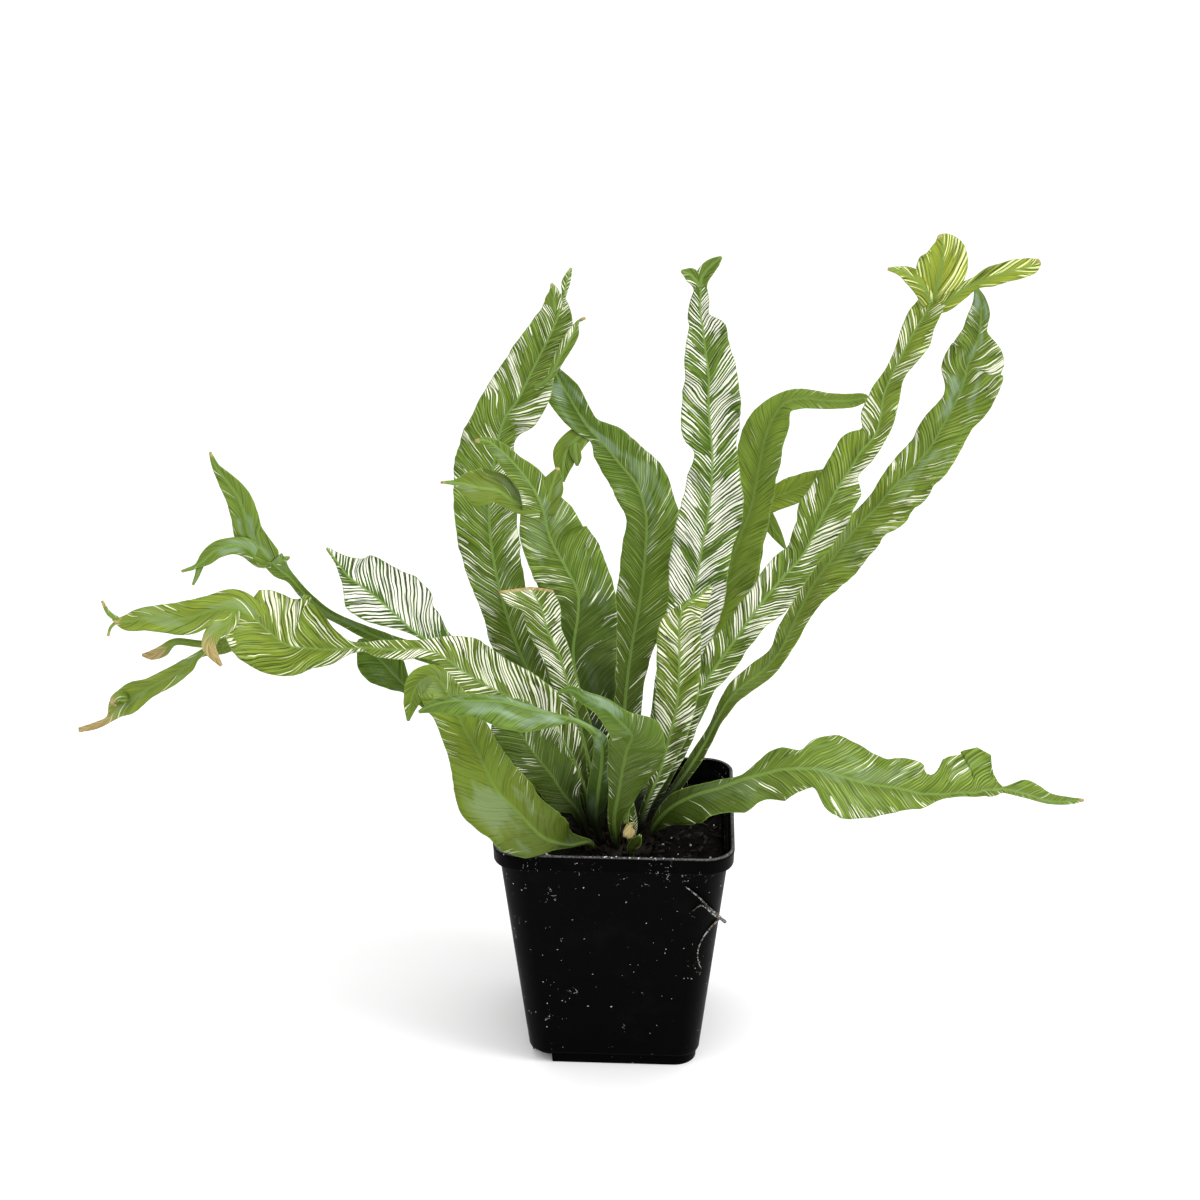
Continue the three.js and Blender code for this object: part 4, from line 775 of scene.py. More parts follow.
def with_ends(maker, given, own, colour):
    """The midrib, the dried tip and the dark stalk over the blade's colour."""
    midrib = maker.step(maker.over(own.out, maker.scaled(own.share, -0.45, 0.95)), 1, 0.65)
    colour = maker.mix(maker.times(midrib, given["Midrib"]), colour, maker.mix(
        maker.times(own.fine, 0.6), given["Rib"], given["Pale"]))
    burnt = maker.over(maker.plus(maker.less(own.share, 1), own.dry), maker.most(own.dry, 0.0001))
    burnt = maker.step(maker.scaled(own.fine, 0.6, burnt), 0.25, 0.8)
    tan = maker.mix(maker.times(maker.step(own.fine, 0.3, 0.7), 0.4), given["Dry"], given["Butter"])
    colour = maker.mix(burnt, colour, tan)
    bare = maker.over(maker.scaled(own.fine, 10, own.along), given["Bare stalk"])
    foot = maker.times(maker.step(bare, 1.4, 0.5), maker.less(1, own.lobe))
    return maker.mix(foot, colour, given["Stalk"])


def streak_group():
    """Colour, height and gloss of a blade, from its own measures along and across."""
    maker, given, end = new_group(
        "streaks",
        {"Vector": [name.title() for name in BLADE_MEASURES],
         "Float": ["Streak", "Crease", "Midrib", "Bare stalk"],
         "Color": [name.title() for name in BLADE_COLOURS]},
        {"Color": ["Color"], "Float": ["Height", "Roughness"]})
    own = blade_measures(maker, given)
    add_streaks(maker, own, given["Streak"])
    green = green_ground(maker, given, own)
    colour = with_ends(maker, given, own, streaked(maker, given, own, green))
    maker.feed(end.inputs["Color"], colour)
    ridge = maker.step(drawn_out(maker, own, own.seeds[3], *RIDGES), 0.35, 0.65)
    height = maker.plus(maker.times(ridge, 0.7), maker.times(own.fine, 0.4))
    height = maker.scaled(own.dark, -0.25, height)
    maker.feed(end.inputs["Height"], maker.scaled(own.cream, 0.1, height))
    gloss = maker.scaled(own.cream, 0.1, maker.times(own.tone, -0.05))
    maker.feed(end.inputs["Roughness"], maker.scaled(own.fine, 0.12, gloss))


def blended(low, high, share):
    return tuple(a + (b - a) * share for a, b in zip(low, high))


def frond_material(name, settings):
    look = LOOKS[name]
    material, maker, shader = new_material("leaf_" + name, look.rough)
    inputs = {key.title(): maker.attribute(key) for key in BLADE_MEASURES}
    inputs |= {key.title(): tuple(getattr(settings, key)) for key in BLADE_COLOURS}
    inputs["Green"] = blended(settings.green, settings.pale, look.pale)
    made = use_group(maker, "streaks", Streak=look.streak, Crease=look.crease, Midrib=look.rib,
                     Bare_stalk=look.stalk, **inputs)
    maker.feed(shader.inputs["Base Color"], made["Color"])
    rough = maker.math("ADD", made["Roughness"], look.rough, clamp=True)
    maker.feed(shader.inputs["Roughness"], rough)
    add_bump(maker, shader, made["Height"], 0.5, 0.0004)
    shader.inputs["Specular IOR Level"].default_value = 0.15
    return material


def dust_mask(maker, place, grain, amount):
    """Specks of two sizes and broken fibres of dust, denser near the rim."""
    small = use_group(maker, "specks", Vector=maker.sized(place, 0.62), Amount=amount * 0.5,
                      Size=0.2)["Mask"]
    large = use_group(maker, "specks", Vector=maker.sized(place, 0.3), Amount=amount * 0.3,
                      Size=0.13)["Mask"]
    near_rim = maker.times(maker.step(maker.parts(place)[2], 84, 98), 0.07)
    wisp = maker.math("ABSOLUTE", maker.less(maker.noise(place, 0.26, 2, 0.5), 0.5))
    patch = maker.plus(maker.noise(place, 0.085, 3, 0.7), near_rim)
    fibres = maker.times(
        maker.step(wisp, 0.016, 0.006), maker.step(patch, 0.62, 0.68),
        maker.step(maker.noise(place, 0.75, 2, 0.6), 0.5, 0.56), maker.step(grain, 0.38, 0.6))
    specks = maker.times(maker.most(small, large), maker.step(grain, 0.35, 0.6))
    return maker.most(specks, fibres)


def pot_material(settings):
    material, maker, shader = new_material("pot_plastic", settings.rough)
    place = maker.place()
    cloudy = maker.noise(place, 0.06, 4, 0.6)
    grain = maker.noise(place, 1.4, 3, 0.6)
    scratch = maker.noise(maker.sized(place, 1.6, 1.6, 0.09), 1, 3)
    dust = dust_mask(maker, place, grain, settings.dust)
    film = maker.times(maker.step(cloudy, 0.5, 0.8), 0.005)
    colour = maker.mix(film, tuple(settings.colour), (0.3, 0.29, 0.27))
    colour = maker.mix(maker.times(dust, 0.75), colour, (0.62, 0.6, 0.57))
    # Painted highlight: a thin pale line along the top of the rim, for the light caught on its rounded
    # edge.
    top = maker.step(maker.parts(place)[2], POT_HEIGHT - 0.7, POT_HEIGHT - 0.1)
    painted_rim_highlight = maker.times(top, maker.step(grain, 0.25, 0.7), 0.3)
    colour = maker.mix(painted_rim_highlight, colour, (0.5, 0.5, 0.49))
    maker.feed(shader.inputs["Base Color"], colour)
    shader.inputs["Specular IOR Level"].default_value = 0.015
    rough = maker.scaled(cloudy, 0.25, settings.rough - 0.1)
    maker.feed(shader.inputs["Roughness"], maker.scaled(dust, 0.4, rough, clamp=True))
    relief = maker.scaled(scratch, 0.4, maker.times(grain, 0.3))
    add_bump(maker, shader, maker.plus(relief, dust), 0.35, 0.0002)
    return material


def soil_material(settings):
    material, maker, shader = new_material("potting_mix", 0.9)
    place = maker.place()
    coarse = maker.noise(place, 0.35, 5.0, 0.6)
    fine = maker.noise(place, 1.6, 5.0, 0.65)
    colour = maker.mix(maker.step(fine, 0.4, 0.75), tuple(settings.colour), (0.007, 0.005, 0.0035))
    fleck = maker.times(maker.step(fine, 0.66, 0.72), maker.step(coarse, 0.5, 0.62))
    colour = maker.mix(maker.times(fleck, 0.6), colour, (0.12, 0.11, 0.09))
    maker.feed(shader.inputs["Base Color"], colour)
    shader.inputs["Specular IOR Level"].default_value = 0.06
    maker.feed(shader.inputs["Roughness"], maker.scaled(fine, 0.3, 0.7, clamp=True))
    add_bump(maker, shader, maker.plus(coarse, fine), 0.8, 0.0008)
    return material


def grain_material(name, low, high, rough):
    """Mottled matt material for grains, chips and scales."""
    material, maker, shader = new_material(name, rough)
    place = maker.place()
    coarse = maker.noise(place, 0.5, 3.0, 0.6)
    fine = maker.noise(place, 2.6, 4.0, 0.6)
    colour = maker.mix(maker.step(coarse, 0.35, 0.65), low, high)
    colour = maker.mix(maker.times(maker.step(fine, 0.5, 0.72), 0.4), colour, low)
    maker.feed(shader.inputs["Base Color"], colour)
    maker.feed(shader.inputs["Roughness"], maker.scaled(fine, 0.2, rough - 0.1))
    shader.inputs["Specular IOR Level"].default_value = 0.2
    add_bump(maker, shader, fine, 0.6, 0.0003)
    return material


def new_object(name, bm, unit=MM):
    """Object of a mesh that is drawn in the unit, which is used up."""
    bmesh.ops.scale(bm, vec=(unit,) * 3, verts=bm.verts)
    mesh = bpy.data.meshes.new(name)
    bm.to_mesh(mesh)
    bm.free()
    made = bpy.data.objects.new(name, mesh)
    bpy.context.scene.collection.objects.link(made)
    return made


def finish_piece(name, bm, material, slot, nodes=()):
    """Smooth object that rides on the body and stands for its nodes."""
    for face in bm.faces:
        face.smooth = True
    piece = new_object(name, bm)
    piece.data.materials.append(material)
    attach(piece, "root")
    if nodes:
        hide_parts(*nodes)
    return piece


def square_spot(k, steps, sides, half, radius, z):
    """Point number k round a square with round corners."""
    corner, step = divmod(k, steps + sides)
    middle = (corner + 0.5) * math.pi / 2
    reach = (half - radius) * math.sqrt(2)
    angle = (corner + min(step / steps, 1)) * math.pi / 2
    spot = Vector((reach * math.cos(middle), reach * math.sin(middle), z))
    spot += radius * Vector((math.cos(angle), math.sin(angle), 0))
    if step > steps:
        start = corner * math.pi / 2
        run = 2 * (half - radius) * (step - steps) / sides
        spot += run * Vector((-math.cos(start), -math.sin(start), 0))
    return spot


def ring_body(count, rings, spot):
    """Closed body whose ring of count points is extruded through the rings; spot places them."""
    bm = bmesh.new()
    number = bm.verts.layers.int.new("number")
    verts = bmesh.ops.create_circle(bm, cap_ends=True, segments=count, radius=1)["verts"]
    for k, vert in enumerate(verts):
        vert[number] = k
    edges = list(bm.edges)
    for turn, ring in enumerate(rings):
        if turn:
            made = bmesh.ops.extrude_edge_only(bm, edges=edges)["geom"]
            edges = [part for part in made if isinstance(part, bmesh.types.BMEdge)]
            verts = [part for part in made if isinstance(part, bmesh.types.BMVert)]
        for vert in verts:
            vert.co = spot(vert[number], ring)
    bmesh.ops.holes_fill(bm, edges=edges)
    bmesh.ops.recalc_face_normals(bm, faces=bm.faces)
    return bm


def body_half(z):
    """Half width of the pot's body outside at a height."""
    low = FOOT_HALF + FOOT_STEP
    high = RIM_HALF - COLLAR_STEP
    return low + (high - low) * (z - FOOT_HEIGHT) / (COLLAR_FOOT - FOOT_HEIGHT)


def pot_rings():
    """Half width, corner radius and height of each ring, from the pad up and down the inside."""
    floor_top = RECESS + FLOOR
    shoulder = COLLAR_FOOT - WALL
    foot_inside = FOOT_HALF - FOOT_WIDTH
    lip = RIM_HALF - LIP
    return (
        (PAD_HALF - 0.6, PAD_RADIUS, 0),
        (PAD_HALF, PAD_RADIUS, 0.6),
        (PAD_HALF, PAD_RADIUS, RECESS),
        (foot_inside, FOOT_RADIUS - FOOT_WIDTH, RECESS),
        (foot_inside, FOOT_RADIUS - FOOT_WIDTH, 0.5),
        (foot_inside + 0.5, FOOT_RADIUS - FOOT_WIDTH + 0.5, 0),
        (FOOT_HALF - 0.4, FOOT_RADIUS - 0.3, 0),
        (FOOT_HALF - 0.1, FOOT_RADIUS, 0.15),
        (FOOT_HALF, FOOT_RADIUS, 0.5),
        (FOOT_HALF + 0.35, FOOT_RADIUS, FOOT_HEIGHT - 0.1),
        (FOOT_HALF + 0.75, FOOT_RADIUS, FOOT_HEIGHT + 0.05),
        (body_half(FOOT_HEIGHT) - 0.1, FOOT_RADIUS, FOOT_HEIGHT + 0.4),
        (body_half(FOOT_HEIGHT + 1), FOOT_RADIUS, FOOT_HEIGHT + 1.1),
        (body_half(COLLAR_FOOT - 0.6), BODY_RADIUS, COLLAR_FOOT - 0.6),
        (body_half(COLLAR_FOOT) + 0.3, BODY_RADIUS, COLLAR_FOOT - 0.1),
        (RIM_HALF - 1.1, RIM_RADIUS - 0.5, COLLAR_FOOT),
        (RIM_HALF - 0.5, RIM_RADIUS, COLLAR_FOOT + 0.25),
        (RIM_HALF - 0.25, RIM_RADIUS, COLLAR_FOOT + 0.9),
        (RIM_HALF - 0.1, RIM_RADIUS, POT_HEIGHT - 1.9),
        (RIM_HALF + 0.05, RIM_RADIUS, POT_HEIGHT - 1.4),
        (RIM_HALF + 0.05, RIM_RADIUS, POT_HEIGHT - 0.6),
        (RIM_HALF - 0.3, RIM_RADIUS, POT_HEIGHT - 0.15),
        (RIM_HALF - 0.75, RIM_RADIUS, POT_HEIGHT),
        (lip + 0.3, RIM_RADIUS - 0.8, POT_HEIGHT - 0.1),
        (lip, RIM_RADIUS - WALL, POT_HEIGHT - 0.5),
        (lip - 0.4, RIM_RADIUS - WALL, COLLAR_FOOT + 2.2),
        (lip - 1.2, RIM_RADIUS - WALL, COLLAR_FOOT + 1.3),
        (body_half(COLLAR_FOOT) - WALL + 0.3, BODY_RADIUS - WALL, COLLAR_FOOT + 0.4),
        (body_half(shoulder) - WALL, BODY_RADIUS - WALL, shoulder),
        (body_half(floor_top) - WALL, FOOT_RADIUS - WALL, floor_top),
    )


def pot_cutters():
    """Body of the plain shapes that cut the drain holes and the slots in the foot."""
    bm = bmesh.new()
    corner = FOOT_HALF * math.sqrt(2) - FOOT_RADIUS * (math.sqrt(2) - 1)
    for quarter in range(4):
        turn = Matrix.Rotation(quarter * math.pi / 2, 4, "Z")
        spot = turn @ Matrix.Translation((DRAIN_REACH, 0, (RECESS + FLOOR) / 2))
        bmesh.ops.create_cone(
            bm, cap_ends=True, segments=28, radius1=DRAIN_RADIUS, radius2=DRAIN_RADIUS,
            depth=CUTTER, matrix=spot,
        )
        if quarter == WHOLE_CORNER:
            continue
        turn = Matrix.Rotation((quarter + 0.5) * math.pi / 2, 4, "Z")
        spot = turn @ Matrix.Translation((0, corner - FOOT_WIDTH / 2, 0))
        size = Matrix.Diagonal((SLOT_WIDTH, CUTTER, SLOT_HEIGHT * 2, 1))
        bmesh.ops.create_cube(bm, size=1, matrix=spot @ size)
    return new_object("pot_cutters", bm)


def cut_away(piece, cutters):
    """Takes the cutters out of the piece, and removes them."""
    cut = piece.modifiers.new("holes", "BOOLEAN")
    cut.operation = "DIFFERENCE"
    cut.solver = "MANIFOLD"
    cut.object = cutters
    bpy.context.view_layer.update()
    ready = piece.evaluated_get(bpy.context.evaluated_depsgraph_get())
    mesh = bpy.data.meshes.new_from_object(ready)
    mesh.name = piece.name
    piece.modifiers.clear()
    piece.data = mesh
    bpy.data.objects.remove(cutters)


def build_pot(settings):
    steps = settings.corner_steps
    bm = ring_body(4 * (steps + 1), pot_rings(), lambda k, ring: square_spot(k, steps, 1, *ring))
    piece = finish_piece("square_pot", bm, pot_material(settings), "pot_plastic", ["pot"])
    cut_away(piece, pot_cutters())
    edges = piece.modifiers.new("edges", "BEVEL")
    edges.width = POT_EDGE * MM
    edges.segments = 2
    edges.limit_method = "ANGLE"
    edges.angle_limit = math.radians(50)
    edges.harden_normals = True


def soil_height(x, y, share):
    """Level of the soil; share is 1 at the pot's wall and 0 in the middle."""
    turn = 2 * math.pi
    across, along, fine_x, fine_y = LUMP_LENGTHS
    lump = LUMP * math.sin(turn * x / across + LUMP_SHIFT) * math.cos(turn * y / along)
    lump += FINE_LUMP * math.sin(turn * x / fine_x - turn * y / fine_y)
    spot = Vector((x, y, 0))
    crumbs = 0.9 * noise.fractal(spot * 0.4, 0.8, 2.0, 4) + 0.35 * noise.noise(spot * 1.1)
    rise = min((1 - share) * LUMP_START, 1)
    dip = -SOIL_DIP * max(0, share - 0.94) / 0.06
    return SOIL_LEVEL + dip + lump * rise * rise * (3 - 2 * rise) + crumbs


def build_soil(settings):
    steps, sides, rings = 8, 40, 52
    low = RECESS + FLOOR + GAP
    wall = WALL + GAP
    edge = body_half(SOIL_LEVEL) - wall
    radius = BODY_RADIUS - WALL
    shares = [1 - k / rings for k in range(rings)]

    def spot(k, ring):
        if ring is None:
            return square_spot(k, steps, sides, body_half(low) - wall, FOOT_RADIUS - WALL, low)
        found = square_spot(k, steps, sides, edge * ring, radius * ring, 0)
        found.z = soil_height(found.x, found.y, ring)
        return found

    bm = ring_body(4 * (steps + sides), [None, *shares], spot)
    finish_piece("potting_mix_block", bm, soil_material(settings), "potting_mix", ["soil"])


def scatter(chance, count):
    """Points on the soil, as x, y and share of the way to the wall."""
    edge = body_half(SOIL_LEVEL) - WALL - 1.2
    for _ in range(count):
        x, y = chance.uniform(-edge, edge), chance.uniform(-edge, edge)
        share = max(abs(x), abs(y)) / edge
        if math.hypot(x, y) < edge * 1.3:
            yield x, y, share


def add_grain(bm, spot, size, chance, flat=0.75):
    """A lumpy grain of a few faces."""
    turn = Matrix.Rotation(chance.uniform(0, FULL_TURN), 4, Vector(
        (chance.uniform(-1, 1), chance.uniform(-1, 1), chance.uniform(-1, 1))).normalized())
    form = Matrix.Diagonal((size, size * chance.uniform(0.6, 1), size * flat, 1))
    verts = bmesh.ops.create_icosphere(
        bm, subdivisions=2, radius=1, matrix=Matrix.Translation(spot) @ turn @ form)["verts"]
    for vert in verts:
        away = vert.co - spot
        vert.co = spot + away * (1 + 0.35 * noise.noise(vert.co * 1.7))


def build_grains(settings):
    chance = random.Random(settings.seed)
    bm = bmesh.new()

    def drop(x, y, z, least, more):
        add_grain(bm, Vector((x, y, z)), least + more * chance.random() ** 2, chance)

    def aside(middle, spread):
        return max(-GRAINS_OUT, min(GRAINS_OUT, chance.gauss(middle, spread)))

    for x, y, share in scatter(chance, settings.grains):
        drop(x, y, soil_height(x, y, share) + 0.15, 0.15, 0.75)
    for _ in range(settings.grains // 3):
        x, y = aside(20, 9), chance.uniform(*GRAINS_BEHIND_RIM)
        drop(x, y, soil_height(x, y, 0.95) + 0.15, 0.15, 0.6)
    for _ in range(settings.grains // 9):
        drop(aside(10, 17), chance.uniform(*GRAINS_ON_RIM), POT_HEIGHT, 0.12, 0.4)
    material = grain_material("perlite", (0.5, 0.49, 0.45), (0.82, 0.82, 0.79), 0.75)
    finish_piece("perlite_grains", bm, material, "potting_mix")


def build_chips(settings):
    chance = random.Random(settings.seed + 1)
    bm = bmesh.new()
    for x, y, share in scatter(chance, settings.chips):
        size = chance.uniform(0.8, 2.4)
        spot = Vector((x, y, soil_height(x, y, share) + 0.25 * size))
        turn = Matrix.Rotation(chance.uniform(0, FULL_TURN), 4, "Z")
        tilt = Matrix.Rotation(chance.gauss(0, 0.35), 4, "X")
        form = Matrix.Diagonal((size * chance.uniform(0.8, 2.2), size * 0.6, size * 0.35, 1))
        verts = bmesh.ops.create_cube(
            bm, size=1, matrix=Matrix.Translation(spot) @ turn @ tilt @ form)["verts"]
        for vert in verts:
            vert.co += 0.25 * size * noise.noise_vector(vert.co * 0.9)
    material = grain_material("bark", (0.002, 0.0016, 0.0012), (0.011, 0.007, 0.005), 0.8)
    piece = finish_piece("bark_chips", bm, material, "potting_mix")
    rounded = piece.modifiers.new("rounded", "BEVEL")
    rounded.width = CHIP_EDGE * MM
    rounded.segments = 1


def crown_spot(k, count, scale, z):
    angle = 2 * math.pi * k / count
    swell = scale * (1 + 0.04 * math.sin(7 * angle))
    spot = CROWN_MIDDLE + Vector((
        CROWN_HALF[0] * swell * math.cos(angle), CROWN_HALF[1] * swell * math.sin(angle), z))
    return spot + 0.7 * noise.noise_vector(spot * 0.22)


def build_crown(settings):
    count = 96
    bm = ring_body(count, CROWN_PROFILE, lambda k, ring: crown_spot(k, count, *ring))
    chance = random.Random(settings.seed + 2)
    for _ in range(settings.scales):
        angle = chance.uniform(0, 2 * math.pi)
        share = math.sqrt(chance.random())
        foot = CROWN_MIDDLE + Vector((
            CROWN_HALF[0] * share * math.cos(angle), CROWN_HALF[1] * share * math.sin(angle),
            4.2 * (1 - share ** 3)))
        lean = Vector((math.cos(angle) * (0.3 + share), math.sin(angle) * (0.3 + share),
                       chance.uniform(0.7, 1.8))).normalized()
        add_scale(bm, foot, lean, chance)
    material = grain_material("scales", (0.003, 0.002, 0.0015), (0.014, 0.008, 0.004), 0.7)
    finish_piece("crown_of_scales", bm, material, "crown_scales", ["crown"])


def add_scale(bm, foot, lean, chance):
    """A narrow papery scale that stands out of the crown."""
    length = chance.uniform(3.5, 8.5)
    breadth = chance.uniform(0.5, 1.1)
    spin = Matrix.Rotation(chance.uniform(0, FULL_TURN), 4, "Z")
    aim = lean.to_track_quat("Z", "Y").to_matrix().to_4x4()
    form = Matrix.Diagonal((breadth, 0.22, length, 1))
    place = Matrix.Translation(foot + lean * length * 0.4) @ aim @ spin @ form
    bmesh.ops.create_cone(
        bm, cap_ends=True, segments=5, radius1=1, radius2=0.06, depth=1, matrix=place)


class Curve:
    """Centripetal Catmull-Rom curve, as the part's source has it."""

    def __init__(self, points):
        line = [points[0] * 2 - points[1], *points, points[-1] * 2 - points[-2]]
        self.spans = [self.span(*line[k:k + 4]) for k in range(len(points) - 1)]

    @staticmethod
    def span(before, start, end, after):
        first, middle, last = (
            (b - a).length ** 0.5 for a, b in pairwise((before, start, end, after)))
        middle = middle if middle > 1e-4 else 1
        first = first if first > 1e-4 else middle
        last = last if last > 1e-4 else middle
        leave = ((start - before) / first - (end - before) / (first + middle)
                 + (end - start) / middle) * middle
        reach = ((end - start) / middle - (after - start) / (middle + last)
                 + (after - end) / last) * middle
        return start, leave, (end - start) * 3 - leave * 2 - reach, (start - end) * 2 + leave + reach

    def at(self, mark):
        k = min(int(mark), len(self.spans) - 1)
        w = mark - k
        a, b, c, d = self.spans[k]
        return a + w * (b + w * (c + w * d))

    def slope(self, mark):
        k = min(int(mark), len(self.spans) - 1)
        w = mark - k
        _, b, c, d = self.spans[k]
        return (b + w * (2 * c + w * 3 * d)).normalized()


Row = namedtuple("Row", "centre side face travelled left right")


def rows_along(points, step):
    """Where each row of a blade's mesh lies, and its breadths."""
    place = Curve([Vector(p[:3]) for p in points])
    breadth = Curve([Vector(p[3:]) for p in points])
    marks = []
    for k, (a, b) in enumerate(pairwise(points)):
        pieces = max(1, round((Vector(b[:3]) - Vector(a[:3])).length / step))
        marks += [k + j / pieces for j in range(pieces)]
    rows = []
    travelled = 0
    for mark in [*marks, len(points) - 1]:
        centre = place.at(mark)
        if rows:
            travelled += (centre - rows[-1].centre).length
        left, right, turn = breadth.at(mark)
        along = place.slope(mark)
        lean = math.radians(turn)
        side = Matrix.Rotation(lean, 3, along) @ along.cross(FRONT).normalized()
        seen = math.cos(lean)
        rows.append(Row(centre, side, side.cross(along), travelled,
                        max(left, LEAST_HALF) / seen, max(right, LEAST_HALF) / seen))
    return rows


def smooth(share):
    share = max(0, min(share, 1))
    return share * share * (3 - 2 * share)


def toned(values, share, lobe):
    """Value at a share of the length, from those at the foot, middle, tip and on lobes."""
    foot, middle, tip, lobes = values
    if lobe:
        return lobes
    if share < 0.5:
        return foot + (middle - foot) * share * 2
    return middle + (tip - middle) * (share * 2 - 1)


def add_blade(bm, frond, points, rib_base, seed, settings, tuck=0.0, dry=0.0):
    """Adds a waved blade to the mesh, with its measures as attributes and its thickness as weights."""
    rows = rows_along(points, settings.step / MM)
    length = rows[-1].travelled
    halves = settings.across if rib_base > RIB_TIP else max(3, settings.across - 3)
    blade, reach, tone, film = (bm.verts.layers.float_vector[key] for key in BLADE_MEASURES)
    look = LOOKS[frond.name]
    weight = bm.verts.layers.deform.verify()
    made = bmesh.ops.create_grid(bm, x_segments=2 * halves, y_segments=len(rows) - 1, size=1)
    for vert in made["verts"]:
        row = rows[round((vert.co.y + 1) / 2 * (len(rows) - 1))]
        t = math.copysign(abs(vert.co.x) ** 1.35, vert.co.x)
        share = row.travelled / length
        half = row.left if t < 0 else row.right
        key = Vector((row.travelled * 0.11, math.copysign(3.7, t), seed))
        fray = settings.fray * (noise.noise(key) + 0.45 * noise.noise(key * 3.3))
        half *= 1 + fray * smooth(row.travelled / 30)
        grow = smooth(row.travelled / WAVE_START)
        cycle = 2 * math.pi * row.travelled / frond.pitch + frond.phase
        lag = WAVE_LAG if t < 0 else 0
        swing = math.sin(cycle + lag) + 0.3 * math.sin(2.7 * cycle + 2 * lag + seed)
        lift = grow * t * t * half * (frond.channel + swing * frond.wave / WAVE_HALF)
        lift -= tuck * (1 - smooth(row.travelled / 12))
        slant = row.face.cross(row.side) * frond.slant * t * smooth((share - 0.5) * 2)
        vert.co = row.centre + row.side * t * half + row.face * lift + slant
        rib = RIB_TIP + (rib_base - RIB_TIP) * (1 - smooth(share / RIB_FADE))
        out = abs(t) * half
        sheet = settings.thickness / MM * (1 - 0.45 * smooth((abs(t) - 0.6) / 0.4))
        thick = sheet + max(0, rib * 0.9 - sheet) * math.exp(-(out / 0.85) ** 2)
        vert[weight][0] = thick / RIB_BASE
        vert[blade] = (row.travelled, t * half, seed)
        vert[reach] = (share, half * (1 - abs(t)), 1 if tuck else 0)
        # Share of painted sheen, a painted highlight, at this point of the blade.
        vert[film] = (toned(look.bloom, share, tuck), 0, 0)
        vert[tone] = (toned(look.cream, share, tuck), toned(look.yellow, share, tuck), dry)


def build_frond(frond, seed, settings):
    bm = bmesh.new()
    for key in BLADE_MEASURES:
        bm.verts.layers.float_vector.new(key)
    bm.verts.layers.deform.verify()
    main, *lobes = frond.paths
    foot = Vector(frond.foot)
    lean = (Vector(main[0][:3]) - foot).normalized()
    stalk = [(*spot, STALK_HALF, STALK_HALF, main[0][5])
             for spot in (foot, foot + lean * STALK_LENGTH)]
    look = LOOKS[frond.name]
    add_blade(bm, frond, [*stalk, *main], RIB_BASE, seed, settings, dry=look.dry[0])
    for k, lobe in enumerate(lobes, 1):
        dry = look.dry[min(k, len(look.dry) - 1)]
        add_blade(bm, frond, lobe, RIB_TIP, seed + 0.37 * k, settings, 0.5, dry)
    bmesh.ops.recalc_face_normals(bm, faces=bm.faces)
    piece = finish_piece(frond.name + "_blade", bm, frond_material(frond.name, settings),
                         look.slot, ["frond_" + frond.name])
    piece.vertex_groups.new(name="thickness")
    shell = piece.modifiers.new("thickness", "SOLIDIFY")
    shell.thickness = RIB_BASE * MM
    shell.offset = 0
    shell.vertex_group = "thickness"
    shell.use_rim = True


def wall_spot(way, z, off):
    """Place off the pot's wall, way millimetres round from the middle of the front."""
    half = body_half(z)
    flat = half - BODY_RADIUS
    bend = (way - flat) / BODY_RADIUS
    if bend < 0:
        return Vector((way, -half - off, z))
    if bend > math.pi / 2:
        return Vector((half + off, -flat + way - flat - BODY_RADIUS * math.pi / 2, z))
    reach = BODY_RADIUS + off
    return Vector((flat + reach * math.sin(bend), -flat - reach * math.cos(bend), z))


def add_strand(bm, path, thick, thin):
    """A round strand along a path, with its radius at the start and at the end."""
    last = len(path) - 1
    made = bmesh.ops.create_grid(bm, x_segments=7, y_segments=last, size=1)
    for vert in made["verts"]:
        k = round((vert.co.y + 1) / 2 * last)
        turn = math.pi * vert.co.x
        ahead = (path[min(k + 1, last)] - path[max(k - 1, 0)]).normalized()
        side = ahead.cross(STRAND_SIDE).normalized()
        round_it = side * math.cos(turn) + ahead.cross(side) * math.sin(turn)
        vert.co = path[k] + round_it * (thick + (thin - thick) * k / last)
    bmesh.ops.remove_doubles(bm, verts=made["verts"], dist=0.001)


def root_material():
    """Dark root with broken pale marks along it, painted highlights for the light caught on the strands."""
    material, maker, shader = new_material("root", 0.6)
    place = maker.place()
    # Painted highlight: broken pale grey and tan marks along the strands.
    painted_root_highlight = maker.step(maker.noise(place, 0.9, 2.0, 0.6), 0.5, 0.56)
    brown = maker.step(maker.noise(place, 0.3, 2.0, 0.6), 0.5, 0.7)
    pale = maker.mix(brown, (0.42, 0.41, 0.39), (0.42, 0.27, 0.1))
    colour = maker.mix(maker.times(painted_root_highlight, 0.7), (0.012, 0.01, 0.008), pale)
    maker.feed(shader.inputs["Base Color"], colour)
    shader.inputs["Specular IOR Level"].default_value = 0.3
    add_bump(maker, shader, painted_root_highlight, 0.6, 0.0003)
    return material


def build_root():
    """The fine root that winds over the pot's front right corner, way and height by point."""
    bm = bmesh.new()
    for strand in ROOT_STRANDS:
        thick, thin, points = strand
        course = Curve([wall_spot(*point) for point in points])
        count = 8 * (len(points) - 1)
        add_strand(bm, [course.at(k / 8) for k in range(count + 1)], thick, thin)
    bmesh.ops.holes_fill(bm, edges=bm.edges)
    bmesh.ops.recalc_face_normals(bm, faces=bm.faces)
    finish_piece("fine_root", bm, root_material(), "potting_mix")


def stage_material():
    material, maker, shader = new_material("pale_floor", 0.95)
    tone = maker.noise(maker.place(1), 3.0, 2.0)
    maker.feed(shader.inputs["Base Color"], maker.mix(tone, (0.9, 0.9, 0.9), (0.92, 0.92, 0.92)))
    return material


